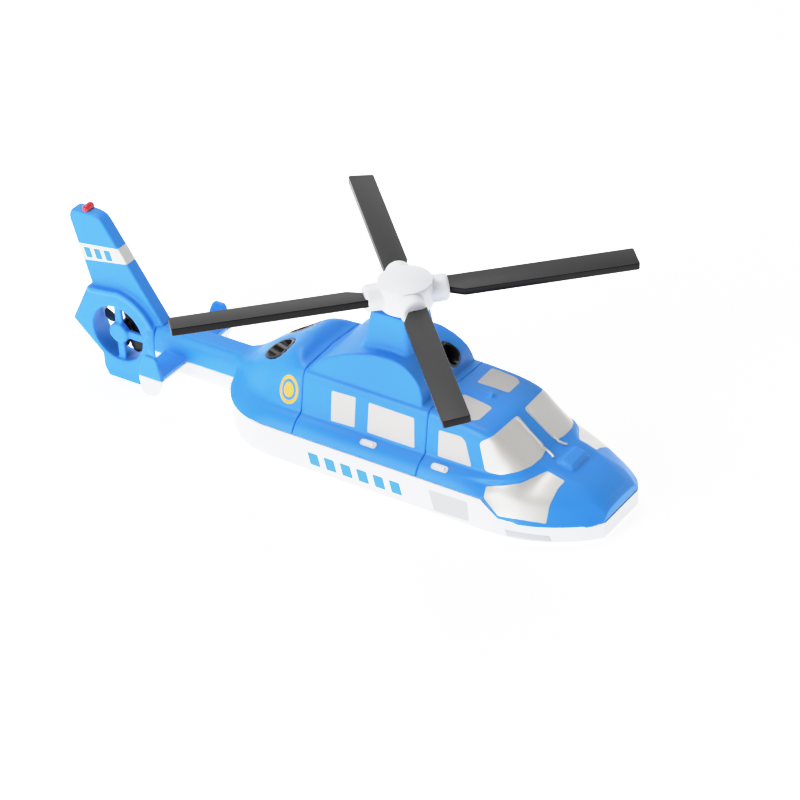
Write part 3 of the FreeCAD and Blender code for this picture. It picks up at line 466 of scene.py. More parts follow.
BLUE = plastic("blue_plastic", (0.038, 0.278, 0.800), 0.42, tint=0.05, specular=0.38)
WHITE = plastic("white_plastic", (0.76, 0.77, 0.81), 0.38, tint=0.02)
BLACK = plastic("black_plastic", (0.009, 0.009, 0.010), 0.22, tint=0.2, specular=0.3)
# The rotor blades' tops and sides are lit and shaded copies of one black plastic: the tops' lighter grey is
# painted light and the sides' near-black is painted shade. The difference in roughness is the plastic's own.
BLADE_TOP_LIT = plastic("blade_plastic", (0.030, 0.030, 0.030), 0.42, tint=0.2, grain=0.03, specular=0.3)
BLADE_SIDE_SHADE = plastic("blade_side_shade", (0.007, 0.007, 0.007), 0.24, tint=0.2, specular=0.16)
SILVER = plastic("silver_window", (0.70, 0.69, 0.665), 0.40, metallic=0.30, tint=0.03, grain=0.02)
RED = plastic("red_plastic", (0.62, 0.035, 0.05), 0.25, tint=0.05, coat=0.3)
plastic("bearing_plastic", (0.80, 0.80, 0.77), 0.45, tint=0.02)
plastic("screw_steel", (0.55, 0.55, 0.57), 0.30, metallic=1.0, tint=0.05)
plastic("magnet_nickel", (0.68, 0.66, 0.62), 0.16, metallic=1.0, tint=0.04)
WINDOW = plastic("window_print", (0.55, 0.535, 0.52), 0.42, tint=0.02)
PATCH = plastic("patch_print", (0.46, 0.465, 0.49), 0.42, tint=0.02)
BADGE = plastic("badge_print", (0.66, 0.42, 0.07), 0.36, metallic=0.1, tint=0.04)
STRIPE = plastic("stripe_print", (0.03, 0.27, 0.55), 0.38, tint=0.03)


def finish_cad_nodes():
    """Inner CAD parts stay as they are, with the finished material of their slot."""
    for entry in frame["record"]["subparts"]:
        node = frame["nodes"][entry["node"]]
        node.data.materials.clear()
        node.data.materials.append(FINISHES[entry["material_slot"]])


def dress(piece, finish, body, *replaced):
    """Give a piece its finish and body, and the CAD nodes that it stands for."""
    piece.data.materials.clear()
    piece.data.materials.append(FINISHES[finish])
    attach(piece, body)
    if replaced:
        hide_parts(*replaced)
    return piece


# ---- decals

def tree_of(piece):
    """The piece's faces, ready for rays."""
    places = [vert.co.copy() for vert in piece.data.vertices]
    return BVHTree.FromPolygons(places, [tuple(face.vertices) for face in piece.data.polygons])


def decal(name, corners, direction, tree, finish, body, radius=0.8, lift=0.07, depth=0.35, step=1.2,
          replaced=()):
    """A thin printed or let-in panel. Its outline's corners (x, y, z) are seen along the direction, and the
    panel lies on whatever surface the tree holds there, a little proud of it."""
    look = Vector(direction).normalized()
    across = look.cross(Vector(UP) if abs(look.z) < 0.9 else Vector(FORWARD)).normalized()
    upward = look.cross(across).normalized()
    flat = [(Vector(c).dot(across), Vector(c).dot(upward)) for c in corners]
    outline = rounded([(*point, radius) for point in flat], radius)
    work = bmesh.new()
    work.faces.new([work.verts.new((a, b, 0)) for a, b in outline])
    low, high = np.min(outline, axis=0), np.max(outline, axis=0)
    for axis, normal in ((0, FORWARD), (1, PORT)):
        for value in np.arange(low[axis] + step / 2, high[axis], step):
            spot = Vector((value, 0, 0)) if axis == 0 else Vector((0, value, 0))
            bmesh.ops.bisect_plane(work, geom=work.verts[:] + work.edges[:] + work.faces[:], plane_co=spot,
                                   plane_no=normal)
    for vert in work.verts:
        start = (across * vert.co.x + upward * vert.co.y + look * 200) * MM
        hit, normal, _, _ = tree.ray_cast(start, -look)
        if hit is None:
            hit, normal, _, _ = tree.find_nearest(start - look * 180 * MM)
        vert.co = hit + normal * lift * MM
    made = bmesh.ops.extrude_face_region(work, geom=work.faces[:])
    moved = [item for item in made["geom"] if isinstance(item, bmesh.types.BMVert)]
    bmesh.ops.translate(work, verts=moved, vec=-look * depth * MM)
    bmesh.ops.recalc_face_normals(work, faces=work.faces)
    mesh = bpy.data.meshes.new(name)
    work.to_mesh(mesh)
    work.free()
    piece = add_object(name, mesh)
    smooth_shade(piece, 40)
    return dress(piece, finish, body, *replaced)


def both_sides(name, corners, direction, tree, finish, body, replaced=None, **options):
    """The same decal to port and to starboard; corners and direction are given for port."""
    for word, side in SIDES:
        spots = [(x, side * y, z) for x, y, z in corners]
        toward = (direction[0], side * direction[1], direction[2])
        nodes = (f"{replaced}_{word}",) if replaced else ()
        decal(f"{name}_{word}", spots, toward, tree, finish, body, replaced=nodes, **options)


# ---- hull

def hull_outline(inset):
    """The inset hull from above: straight sides, a bow swept in to a blunt end, and a round stern."""
    beam, straight_rear, straight_front = BEAM - inset, -58, 62
    bow, bow_half, bow_sweep, stern_sweep = TUB_HIGH.x - inset, 14.5 - inset / 2, 66 - inset, 37 - inset
    return outline_points([
        (straight_rear, -beam), (straight_front, -beam, -bow_sweep), (bow, -bow_half),
        (bow, bow_half, -bow_sweep), (straight_front, beam), (straight_rear, beam, -stern_sweep),
        (TUB_LOW.x + inset, 0, -stern_sweep),
    ])


def make_hull():
    """White tub with a rolled bilge, cut down at the chin and hollow inside."""
    bilge_radius, chin_start, chin_end, chin_z, bow_z = 2.6, 59.0, 67.5, 10.2, 9.3
    wall, corner_radius, rim, past = 2.0, 1.2, 0.4, 5
    levels = [(bilge_radius * (1 - math.sin(a)), bilge_radius * (1 - math.cos(a)))
              for a in np.linspace(0, math.pi / 2, 6)]
    levels += [(0.0, SHEER - rim), (0.35, SHEER)]
    hull = loft("hull", [[(x, y, z) for x, y in rounded(hull_outline(inset), corner_radius)]
                         for inset, z in levels])
    chin = [(chin_start, SHEER), (chin_end, chin_z), (TUB_HIGH.x + past, bow_z),
            (TUB_HIGH.x + past, SHEER + past), (chin_start, SHEER + past)]
    combine(hull, prism("chin", chin, "Y", -2 * BEAM, 2 * BEAM), "DIFFERENCE")
    inside = rounded(hull_outline(wall), corner_radius)
    combine(hull, prism("hollow", inside, "Z", wall, SHEER + past), "DIFFERENCE")
    smooth_shade(hull, 30)
    dress(hull, WHITE, "hull", "hull_tub")
    return hull


def make_hull_bosses():
    """The four screw bosses inside the tub."""
    low, high = low_high("hull_screws")
    head, radius = 2.6, 3.4
    profile = [(1.5, radius), (SHEER - 1, radius), (SHEER - 0.6, radius - 0.4)]
    places = [(x, y, 0) for x in (low.x + head, high.x - head) for y in (low.y + head, high.y - head)]
    bosses = join("hull_bosses", [lathe("boss", profile, place, UP, 32) for place in places])
    smooth_shade(bosses)
    dress(bosses, WHITE, "hull")


def hull_graphics(hull):
    """A row of slanted bars and the pale grey panels on each side."""
    tree = tree_of(hull)
    bar_width, bar_gap, foot, head, slant, first = 5.4, 3.4, 5.0, 11.2, 1.4, -33.2
    for number in range(6):
        left = first + number * (bar_width + bar_gap)
        corners = [(left, BEAM, head), (left + bar_width, BEAM, head), (left + bar_width + slant, BEAM, foot),
                   (left + slant, BEAM, foot)]
        both_sides(f"hull_bar_{number + 1}", corners, PORT, tree, STRIPE, "hull", radius=0.5)
    side_patch = [(31.8, BEAM, 13.4), (52.1, BEAM, 13.8), (52.7, BEAM, 3.7), (34.4, BEAM, 2.9)]
    both_sides("hull_patch", side_patch, PORT, tree, PATCH, "hull", radius=1.0)
    chin_patch = [(70.5, BEAM, 5.6), (91.5, BEAM, 4.9), (92.5, BEAM, 1.5), (72.0, BEAM, 1.3)]
    both_sides("chin_patch", chin_patch, (0.25, 1, 0), tree, PATCH, "hull", radius=1.0)


# ---- cabin with cowling and mast fairing

INTAKE_Y, INTAKE_Z, INTAKE_RADIUS = 8.2, 54.0, 4.8
COWLING_ARCH = [(20.6, 41), (20.6, 46.6), (20.2, 49.2), (18.3, 54.2), (12.2, 59.2), (4.2, 61.8), (-9.2, 61.2),
                (-22.2, 57.3), (-32.6, 52.5), (-37.4, 48.8), (-39.8, 45.0), (-39.8, 41)]


def make_cowling():
    """The engine cowling: an arch seen from the side, with sides that lean in."""
    foot_half, crown_half, foot_z, crown_z = 21.8, 17.6, 45.0, 62.0
    cowling = prism("cowling", rounded(COWLING_ARCH, 9), "Y", -foot_half, foot_half)
    for side in (1, -1):
        lean = [(side * foot_half, foot_z), (side * 40, foot_z - 8), (side * 40, crown_z + 9),
                (side * (crown_half - 2), crown_z + 9)]
        combine(cowling, prism("lean", lean, "X", -60, 40), "DIFFERENCE")
    return cowling


def make_fairing():
    """The mast fairing: a tapered block with a spread foot."""
    rings = []
    for rear, front, half, z in ((-18.4, 8.8, 13.8, 57.5), (-17.3, 8.0, 12.6, 60.2), (-16.6, 7.7, 12.0, 62.4),
                                 (-15.2, 7.2, 10.9, 70.0), (-13.5, 6.6, 9.8, CABIN_HIGH.z)):
        box = [(rear, -half), (front, -half), (front, half), (rear, half)]
        rings.append([(x, y, z) for x, y in rounded(box, 3.2)])
    return loft("fairing", rings)


def make_cabin():
    """The blue middle section with its cowling and fairing."""
    cabin = shell_solid("cabin", CABIN_RAILS, stations(CABIN_LOW.x - SEAM_LIP, CABIN_HIGH.x + SEAM_LIP, 6))
    combine(cabin, make_cowling(), "UNION")
    combine(cabin, make_fairing(), "UNION")
    for side in (1, -1):
        centre = (0, side * INTAKE_Y, INTAKE_Z)
        hole = lathe("hole", [(8, INTAKE_RADIUS), (40, INTAKE_RADIUS)], centre, FORWARD, 48)
        combine(cabin, hole, "DIFFERENCE")
    for seam, depth in ((CABIN_LOW.x, RECESS), (CABIN_HIGH.x, -RECESS)):
        combine(cabin, seam_recess("recess", CABIN_RAILS, seam, depth), "DIFFERENCE")
    soften(cabin)
    dress(cabin, BLUE, "hull", "cabin_shell")
    return cabin


def make_intakes():
    """Glossy black cups flush with the cowling, each with a raised inner ring."""
    radius, wall, floor_x = INTAKE_RADIUS - 0.05, 0.8, 9.6
    for word, side in SIDES:
        centre = (0, side * INTAKE_Y, INTAKE_Z)
        cup = lathe("cup", [(8.2, radius), (30, radius)], centre, FORWARD, 64)
        combine(cup, make_cowling(), "INTERSECT")
        inner = radius - wall
        bore = lathe("bore", [(floor_x, inner - 0.6), (14, inner), (30, inner)], centre, FORWARD, 64)
        combine(cup, bore, "DIFFERENCE")
        ring = lathe("ring", [(floor_x - 0.5, 3.2), (12.4, 3.2), (12.9, 2.8), (12.9, 2.2), (12.2, 1.9),
                              (floor_x, 1.8)], centre, FORWARD, 48)
        cup = join(f"intake_cup_{word}", [cup, ring])
        smooth_shade(cup, 40)
        dress(cup, BLACK, "hull", f"intake_{word}")


WINDOW_MIDDLE = [(-5.9, 26, 40.2), (18.2, 26, 39.9), (19.4, 26, 25.9), (-5.8, 26, 25.9)]
WINDOW_REAR = [(-25.9, 26, 40.0), (-12.9, 26, 40.5), (-12.6, 26, 26.1), (-25.4, 26, 25.6)]


def handle(name, centre_x, tree, body):
    """A door handle: a silver oval plate with a raised white grip bar."""
    shelf_y, centre_z = 33, 24.0
    for part, half, tall, finish, radius, lift, depth in (("plate", 4.3, 1.6, SILVER, 1.7, 0.35, 0.35),
                                                          ("grip", 2.7, 0.7, WHITE, 0.7, 0.8, 0.7)):
        corners = [(centre_x + a * half, shelf_y, centre_z + b * tall)
                   for a, b in ((-1, -1), (1, -1), (1, 1), (-1, 1))]
        both_sides(f"{name}_{part}", corners, (0, 1, 0.6), tree, finish, body, radius=radius, lift=lift,
                   step=0.8, depth=depth)


def cabin_details(cabin):
    """The cabin's printed windows and its door handle."""
    tree = tree_of(cabin)
    both_sides("window_middle", WINDOW_MIDDLE, PORT, tree, WINDOW, "hull")
    both_sides("window_rear", WINDOW_REAR, PORT, tree, WINDOW, "hull")
    handle("cabin_handle", -2.6, tree, "hull")


# ---- nose

def make_nose():
    """The blue nose section, with a short upright groove on each side of the bow."""
    nose = shell_solid("nose", NOSE_RAILS, stations(NOSE_LOW.x - SEAM_LIP, NOSE_HIGH.x - 0.1))
    combine(nose, make_scoop(), "UNION")
    combine(nose, make_roof_bump(), "UNION")
    combine(nose, seam_recess("recess", NOSE_RAILS, NOSE_LOW.x, RECESS), "DIFFERENCE")
    for near, far in ((17.6, 40), (-40, -17.6)):
        combine(nose, block("notch", (95.4, near, 11), (96.2, far, 19)), "DIFFERENCE")
    soften(nose)
    dress(nose, BLUE, "nose", "nose_shell")
    return nose


def make_scoop():
    """The small air scoop on the hood, low behind and square in front."""
    rear, front, half, sink = 80.8, 88.6, 6.6, 18.0
    side = [(rear, sink), (front, sink), (front, 26.4), (front - 1.2, 27.4), (rear + 1.0, 28.4), (rear, 27.0)]
    scoop = prism("scoop", side, "Y", -half, half)
    bevel(scoop, 0.5, 2)
    return scoop


def make_roof_bump():
    """The small knob on the roof between the two roof windows."""
    bump = block("bump", (41.4, -1.5, 43), (44.6, 1.7, 47.1))
    bevel(bump, 0.6, 2)
    return bump


PANE = [(58.2, 3.0, 42.2), (57.0, 20.6, 41.4), (52.2, 24.6, 38.6), (56.2, 27.0, 25.9), (63.5, 26.6, 26.4),
        (70.2, 23.4, 28.2), (74.0, 17.0, 29.0), (74.2, 9.0, 28.9), (73.0, 3.8, 29.6)]
WINDOW_FRONT = [(31.2, 26, 38.2), (42.6, 26, 38.5), (45.0, 26, 36.8), (49.0, 26, 26.0), (31.6, 26, 25.9)]
CHIN_PANE = [(79.4, 13.4, 26.0), (88.4, 13.4, 23.8), (87.6, 18.4, 22.6), (87.6, 25.6, 18.0),
             (88.8, 30.6, 11.8), (67.8, 36.2, 12.0), (60.0, 35.0, 18.0), (59.0, 31.2, 21.6),
             (66.0, 28.9, 22.9), (72.8, 24.4, 24.0), (76.8, 17.8, 25.3)]


def nose_details(nose):
    """Silver panes, printed windows, door handle and wipers of the nose."""
    tree = tree_of(nose)
    both_sides("windshield_pane", PANE, (0.72, 0.55, 0.62), tree, SILVER, "nose",
               replaced="windshield", radius=1.6, lift=0.12, step=1.0)
    both_sides("chin_pane", CHIN_PANE, (0.35, 0.9, 0.75), tree, SILVER, "nose",
               replaced="chin_window", radius=1.0, lift=0.12, step=1.0)
    both_sides("window_front", WINDOW_FRONT, PORT, tree, WINDOW, "nose")
    roof = [(47.8, 6.6, 45), (32.0, 5.4, 46), (31.0, 19.6, 45), (44.4, 19.2, 45), (47.2, 17.2, 45)]
    both_sides("roof_window", roof, UP, tree, WINDOW, "nose", radius=1.5)
    handle("nose_handle", 35.2, tree, "nose")
    for word, side in SIDES:
        make_wiper(f"wiper_{word}", side, tree)


def on_surface(tree, point, direction, lift):
    """The point of the surface under a point along a direction, raised by lift, in millimetres."""
    look = Vector(direction).normalized()
    hit, normal, _, _ = tree.ray_cast((Vector(point) + look * 100) * MM, -look)
    return (hit + normal * lift * MM) / MM


def make_wiper(name, side, tree):
    """A moulded wiper on the pane: a straight blade and a cranked arm that ends on the sill."""
    slope = (0.64, 0, 0.77)
    blade = [(58.6 + 1.3 * k, side * (4.5 - 0.03 * k), 41.8 - 1.05 * k) for k in range(11)]
    arm = [(x, side * y, z) for x, y, z in ((71.0, 5.2, 31.2), (72.6, 4.6, 30.0), (74.4, 4.4, 28.8),
                                            (76.2, 5.0, 27.6), (77.4, 5.8, 27.2))]
    blade_path = [on_surface(tree, point, slope, 0.45) for point in blade]
    arm_path = [on_surface(tree, point, slope, 0.45) for point in arm]
    wiper = join(name, [tube_along("blade", blade_path, 0.55), tube_along("arm", arm_path, 0.6)])
    smooth_shade(wiper, 60)
    dress(wiper, SILVER, "nose")


# ---- tail cowl and boom

COWL_END = -92.8
EXHAUST_PLACE, EXHAUST_RADIUS = (-64.5, 9.9, 42.2), 6.9
EXHAUST_WAY = (math.cos(math.radians(16)), 0, -math.sin(math.radians(16)))
BOOM_HALF, BOOM_TOP, BOOM_SPLIT, BOOM_FOOT = 8.0, 27.0, LOWER_HIGH.z, LOWER_LOW.z
UPPER_BOOM = [(4.4, BOOM_TOP, 1.4), (7.2, BOOM_TOP - 3.6, 2.2), (BOOM_HALF, BOOM_SPLIT, 0.1)]
LOWER_BOOM = [(BOOM_HALF, BOOM_SPLIT, 0.1), (7.2, BOOM_SPLIT - 7.4, 2.2), (4.2, BOOM_FOOT, 1.8)]
NECK = [*UPPER_BOOM[:2], (BOOM_HALF, BOOM_SPLIT, 2), *LOWER_BOOM[1:]]
PLANE_FRONT, PLANE_REAR, PLANE_TOP, PLANE_FOOT, PLATE_Y = -122.0, -135.0, 16.8, 13.6, 27.0


def boom_ring(half, x):
    """The boom's section at x from its port corners (y, z, radius)."""
    ring = half + [(-y, z, radius) for y, z, radius in reversed(half)]
    return [(x, y, z) for y, z in rounded(ring, 1)]


def tailplane(upper):
    """The tailplane and end plates above or below the split line."""
    low, high = (BOOM_SPLIT, PLANE_TOP) if upper else (PLANE_FOOT, BOOM_SPLIT)
    wing = prism("wing", [(PLANE_FRONT, -PLATE_Y), (PLANE_FRONT, PLATE_Y), (PLANE_REAR, PLATE_Y),
                          (PLANE_REAR, -PLATE_Y)], "Z", low, high)
    front_foot = PLANE_FRONT + 0.7
    if upper:
        side = [(front_foot, BOOM_SPLIT, 0.1), (-124, BOOM_TOP, 1.6), (-130.6, BOOM_TOP, 1.2),
                (-133, 22.4, 1.0), (PLANE_REAR, BOOM_SPLIT, 0.1)]
    else:
        side = [(PLANE_REAR, BOOM_SPLIT, 0.1), (-134.6, 8.6, 1.0), (-133.4, 5.0, 1.4), (-125.6, 5.0, 2.4),
                (front_foot, BOOM_SPLIT, 0.1)]
    for y in (-PLATE_Y, PLATE_Y):
        combine(wing, prism("plate", rounded(side, 1), "Y", y - 1, y + 1), "UNION")
    return wing


def make_tail():
    """Rear cowl with the upper half of the boom, tailplane and end plates."""
    tail = shell_solid("tail", TAIL_RAILS, stations(TAIL_HIGH.x + SEAM_LIP, COWL_END))
    combine(tail, loft("boom", [boom_ring(UPPER_BOOM, x) for x in (-88.0, TAIL_LOW.x)]), "UNION")
    x, y, z = EXHAUST_PLACE
    for side in (1, -1):
        profile = [(-14, EXHAUST_RADIUS), (13.5, EXHAUST_RADIUS)]
        combine(tail, lathe("hole", profile, (x, side * y, z), EXHAUST_WAY, 48), "DIFFERENCE")
    combine(tail, seam_recess("recess", TAIL_RAILS, TAIL_HIGH.x, -RECESS), "DIFFERENCE")
    combine(tail, tailplane(True), "UNION")
    soften(tail)
    dress(tail, BLUE, "tail", "tail_shell")
    return tail


def make_boom_lower():
    """The white underside of the boom, with the lower half of the tailplane."""
    lower = loft("boom_underside", [boom_ring(LOWER_BOOM, x) for x in (LOWER_HIGH.x, LOWER_LOW.x)])
    combine(lower, tailplane(False), "UNION")
    soften(lower, 0.4, 5)
    dress(lower, WHITE, "tail", "boom_lower")


def make_exhausts():
    """Nozzles cut to the cowl's own skin, each round a smaller pipe with a rounded lip."""
    radius = EXHAUST_RADIUS - 0.2
    x, y, z = EXHAUST_PLACE
    for word, side in SIDES:
        centre = (x, side * y, z)
        nozzle = lathe(f"nozzle_{word}", [(-14, radius), (13.3, radius)], centre, EXHAUST_WAY, 64)
        bore = lathe("bore", [(-20, radius - 1.0), (9.0, radius - 1.0), (10.0, radius - 2.0)], centre,
                     EXHAUST_WAY, 64)
        combine(nozzle, bore, "DIFFERENCE")
        combine(nozzle, shell_solid("cowl", TAIL_RAILS, stations(TAIL_HIGH.x, COWL_END)), "INTERSECT")
        pipe = lathe("pipe", [(8.0, 1.9), (4.4, 2.0), (3.8, 2.4), (3.8, 2.8), (4.4, 3.1), (10, 3.1)], centre,
                     EXHAUST_WAY, 48)
        nozzle = join(f"exhaust_nozzle_{word}", [nozzle, pipe])
        smooth_shade(nozzle, 40)
        dress(nozzle, BLACK, "tail", f"exhaust_{word}")


def tail_details(tail):
    """A plain yellow roundel on each side of the rear cowl."""
    tree = tree_of(tail)
    centre_x, centre_z, squeeze, stretch = -49.2, 33.6, 0.85, 1.15
    for name, radius, finish, lift in (("roundel", 6.4, BADGE, 0.07), ("roundel_ring", 4.6, BLUE, 0.14),
                                       ("roundel_core", 3.4, BADGE, 0.21)):
        corners = [(centre_x + radius * squeeze * math.cos(a), 26, centre_z + radius * stretch * math.sin(a))
                   for a in np.linspace(0, 2 * math.pi, 20, endpoint=False)]
        both_sides(name, corners, (-0.2, 1, 0.25), tree, finish, "tail", radius=0.5, lift=lift, step=1.5)


# ---- fin, duct and fan

FIN_BLADE = [(-178.8, 37.0, 1.0), (-188.8, 73.4, 2.6), (-186.6, 77.6, 1.6), (-174.4, 77.9, 2.6),
             (-169.6, 76.6, 2.6), (-166.6, 72.2, 3.0), (-137.4, 27.0, 1.0), (-141.6, 24.0, 0.5),
             (-150.0, 18.0, 0.5), (-170.0, 18.0, 0.5)]
RING_RADIUS, RING_HALF, DUCT_RADIUS, FIN_HALF = 24.4, 5.8, 14.7, 3.5
RING_FRONT = (FAN_X + RING_RADIUS, FAN_Z)


def ring_point(x, side=1):
    """The point of the ring's rim over or under x."""
    return (x, FAN_Z + side * math.sqrt(RING_RADIUS ** 2 - (x - FAN_X) ** 2))


def housing_outline():
    """The duct housing from the side: a ring in front, a pointed tail and the ventral fin."""
    return outline_points([
        (-180.4, 38.0), (*ring_point(-162.0), RING_RADIUS), (*RING_FRONT, RING_RADIUS),
        ring_point(-149.6, -1), (-153.4, -3.4), (-154.0, FIN_LOW.z), (-172.8, FIN_LOW.z),
        (-175.2, FIN_LOW.z + 4.6), (-175.2, 1.6), (-191.4, FAN_Z + 1.1),
    ])


def make_fin_blade():
    """The fin's own slab with a blunt leading edge."""
    blade = prism("fin_blade", rounded(FIN_BLADE, 1.0), "Y", -FIN_HALF, FIN_HALF)
    bevel(blade, 2.4, 6, 50)
    return blade


def make_fin():
    """Fin, duct housing, boom's neck and spider as one moulding."""
    housing = prism("housing", housing_outline(), "Y", -RING_HALF, RING_HALF)
    neck = loft("neck", [boom_ring(NECK, x) for x in (FIN_HIGH.x - 8.5, -141.3)])
    fin = join("fin", [make_fin_blade(), housing, make_lip(), neck])
    soften(fin, 0.5, 0)
    duct = lathe("duct", [(-20, DUCT_RADIUS), (20, DUCT_RADIUS)], (FAN_X, 0, FAN_Z), PORT, 96)
    combine(fin, duct, "DIFFERENCE")
    fin = join("fin", [fin, make_spider()])
    soften(fin, 0.5, 6)
    dress(fin, BLUE, "tail", "tail_fin")
    return fin


def make_lip():
    """The raised bead along the top and front of the duct housing."""
    width, height = 2.3, 0.8
    outer = outline_points([(-180.2, 37.8), (*ring_point(-162.0), RING_RADIUS), RING_FRONT])
    inner = outline_points([(-178.9, 35.6), (-162.6, ring_point(-162.0)[1] - width, RING_RADIUS - width),
                            (RING_FRONT[0] - width, FAN_Z)])
    return prism("lip", outer + inner[::-1], "Y", -RING_HALF - height, RING_HALF + height)


def make_spider():
    """Disc and three spokes that carry the fan's axle, a little inside the starboard face."""
    outer_y, inner_y, disc, spoke = -5.6, -2.2, 5.4, 4.2
    spider = lathe("disc", [(outer_y, disc - 0.5), (outer_y + 0.5, disc), (inner_y, disc)], (FAN_X, 0, FAN_Z),
                   PORT, 48)
    reach = DUCT_RADIUS + 1
    upright = [(FAN_X - spoke / 2, FAN_Z - reach), (FAN_X + spoke / 2, FAN_Z - reach),
               (FAN_X + spoke / 2, FAN_Z + reach), (FAN_X - spoke / 2, FAN_Z + reach)]
    forward = [(FAN_X, FAN_Z - spoke / 2), (FAN_X + reach, FAN_Z - spoke / 2),
               (FAN_X + reach, FAN_Z + spoke / 2), (FAN_X, FAN_Z + spoke / 2)]
    for outline in (upright, forward):
        combine(spider, prism("spoke", outline, "Y", outer_y + 1.4, inner_y), "UNION")
    return spider


def make_fan():
    """Five broad twisted blades on a hub."""
    hub_radius, tip_radius, middle, first = 4.0, 13.8, 2.6, math.radians(22)
    pieces = [lathe("fan_hub", [(0.4, 1.4), (0.4, hub_radius - 0.4), (0.8, hub_radius), (4.4, hub_radius),
                                (4.8, hub_radius - 0.4), (4.8, 1.4)], (FAN_X, 0, FAN_Z), PORT, 48)]
    for number in range(5):
        rings = []
        for radius, half, pitch in ((2.8, 2.0, 34), (6.0, 3.4, 28), (10.0, 5.0, 22), (12.6, 5.2, 19),
                                    (tip_radius, 4.4, 18)):
            ring = []
            lean = math.radians(pitch)
            for along, thick in ((-half, 0.1), (-half * 0.5, 0.6), (half * 0.5, 0.6), (half, 0.1),
                                 (half * 0.5, -0.6), (-half * 0.5, -0.6)):
                swing = along * math.cos(lean) - thick * math.sin(lean)
                rise = (along * math.sin(lean) + thick * math.cos(lean)) * 0.9
                angle = swing / radius + 2 * math.pi * number / 5 + first
                ring.append((FAN_X + radius * math.cos(angle), middle + rise,
                             FAN_Z + radius * math.sin(angle)))
            rings.append(ring)
        pieces.append(loft("fan_blade", rings))
    fan = join("duct_fan", pieces)
    smooth_shade(fan, 40)
    dress(fan, BLACK, "tail_fan", "tail_fan")


def make_beacon():
    """A red lamp lying across the fin's top."""
    low, high = low_high("beacon")
    radius, half = 1.95, 3.5
    centre = ((low.x + high.x) / 2 + 0.8, 0, (low.z + high.z) / 2 - 0.3)
    profile = [(-half + radius * (1 - math.cos(a)), radius * math.sin(a))
               for a in np.linspace(0.25, math.pi / 2, 8)]
    profile += [(-along, r) for along, r in reversed(profile)]
    lamp = lathe("beacon_lamp", profile, centre, PORT, 48)
    smooth_shade(lamp, 60)
    dress(lamp, RED, "tail", "beacon")


def make_band(fin):
    """The silver band round the fin, and blue bars on it."""
    band = add_object("fin_band", fin.data.copy())
    normals = [vert.normal.copy() for vert in band.data.vertices]
    for vert, normal in zip(band.data.vertices, normals):
        vert.co += normal * 0.08 * MM
    stripe = [(-192, 58.7), (-150, 64.2), (-146, 57.4), (-192, 49.5)]
    combine(band, prism("stripe", stripe, "Y", -10, 10), "INTERSECT")
    smooth_shade(band, 40)
    dress(band, SILVER, "tail")
    tree = tree_of(band)
    for number in range(3):
        left = -181.4 + 6.0 * number
        corners = [(left, 4, 58.2 + 0.75 * number), (left + 3.6, 4, 58.7 + 0.75 * number),
                   (left + 5.0, 4, 53.6 + 0.75 * number), (left + 1.4, 4, 53.1 + 0.75 * number)]
        both_sides(f"fin_bar_{number + 1}", corners, PORT, tree, STRIPE, "tail", radius=0.4)


# ---- rotor

BLADE_ANGLES = (45, 135, 225, 315)


def make_hub():
    """Four barrel collars round a centre that the cap covers."""
    collar_radius, collar_end, core = 6.2, 18.9, 12.0
    hub = lathe("hub", [(HUB_LOW.z, core - 1.0), (HUB_LOW.z + 1.0, core), (HUB_HIGH.z - 0.4, core),
                        (HUB_HIGH.z, core - 0.4)], (0, 0, 0), UP, 64)
    for angle in BLADE_ANGLES:
        way = (math.cos(math.radians(angle)), math.sin(math.radians(angle)), 0)
        collar = lathe("collar", [(0, collar_radius), (11, collar_radius), (17.4, collar_radius - 0.1),
                                  (18.4, collar_radius - 0.5), (collar_end, collar_radius - 1.3)],
                       (0, 0, BLADE_Z), way, 48)
        combine(hub, collar, "UNION")
    soften(hub, 0.4, 6)
    dress(hub, WHITE, "main_rotor", "rotor_hub")


def make_cap():
    """The domed disc over the hub."""
    rim, rise, radius = CAP_LOW.z - 0.1, CAP_HIGH.z - CAP_LOW.z - 0.9, CAP_HIGH.y - 0.7
    profile = [(0, radius - 0.3), (0.35, radius), (0.8, radius - 0.15)]
    for share in np.linspace(0.15, 1, 10)[:-1]:
        profile.append((0.9 + (rise - 0.9) * (1 - (1 - share) ** 2), (radius - 0.4) * (1 - share)))
    cap = lathe("rotor_cap", profile, (0, 0, rim), UP, 96)
    smooth_shade(cap, 50)
    dress(cap, WHITE, "main_rotor", "hub_cap")


def make_blades():
    """Flat blades with bevelled edges, a cut root corner and a round spigot in the collar."""
    chord, thickness, pitch, root, full, tip = 12.0, 3.6, 6.0, 17.4, 25.5, 104.9
    half = chord / 2
    plan = [(root, half), (root, half - 8.0), (full, -half), (tip, -half), (tip, half)]
    lean = Matrix.Rotation(math.radians(pitch), 4, "X")
    for number, angle in enumerate(BLADE_ANGLES):
        blade = prism("blade", rounded(plan, 1.0, 3), "Z", -thickness / 2, thickness / 2)
        bevel(blade, 0.45, 3, 50)
        spigot = lathe("spigot", [(8.2, 2.4), (18.2, 2.4), (19.6, 1.6)], (0, 0, 0), FORWARD, 32)
        blade = join(f"blade_{number + 1}", [blade, spigot])
        turn = Matrix.Rotation(math.radians(angle), 4, "Z") @ lean
        blade.data.transform(Matrix.Translation((0, 0, BLADE_Z * MM)) @ turn)
        smooth_shade(blade, 30)
        dress(blade, BLADE_TOP_LIT, "main_rotor", f"rotor_blade_{number + 1}")
        # Faces that don't look up take the darker copy of the black, as painted shade on the blade's sides
        # and bevels.
        blade.data.materials.append(FINISHES[BLADE_SIDE_SHADE])
        for face in blade.data.polygons:
            face.material_index = 0 if face.normal.z > 0.9 else 1


# ---- stage

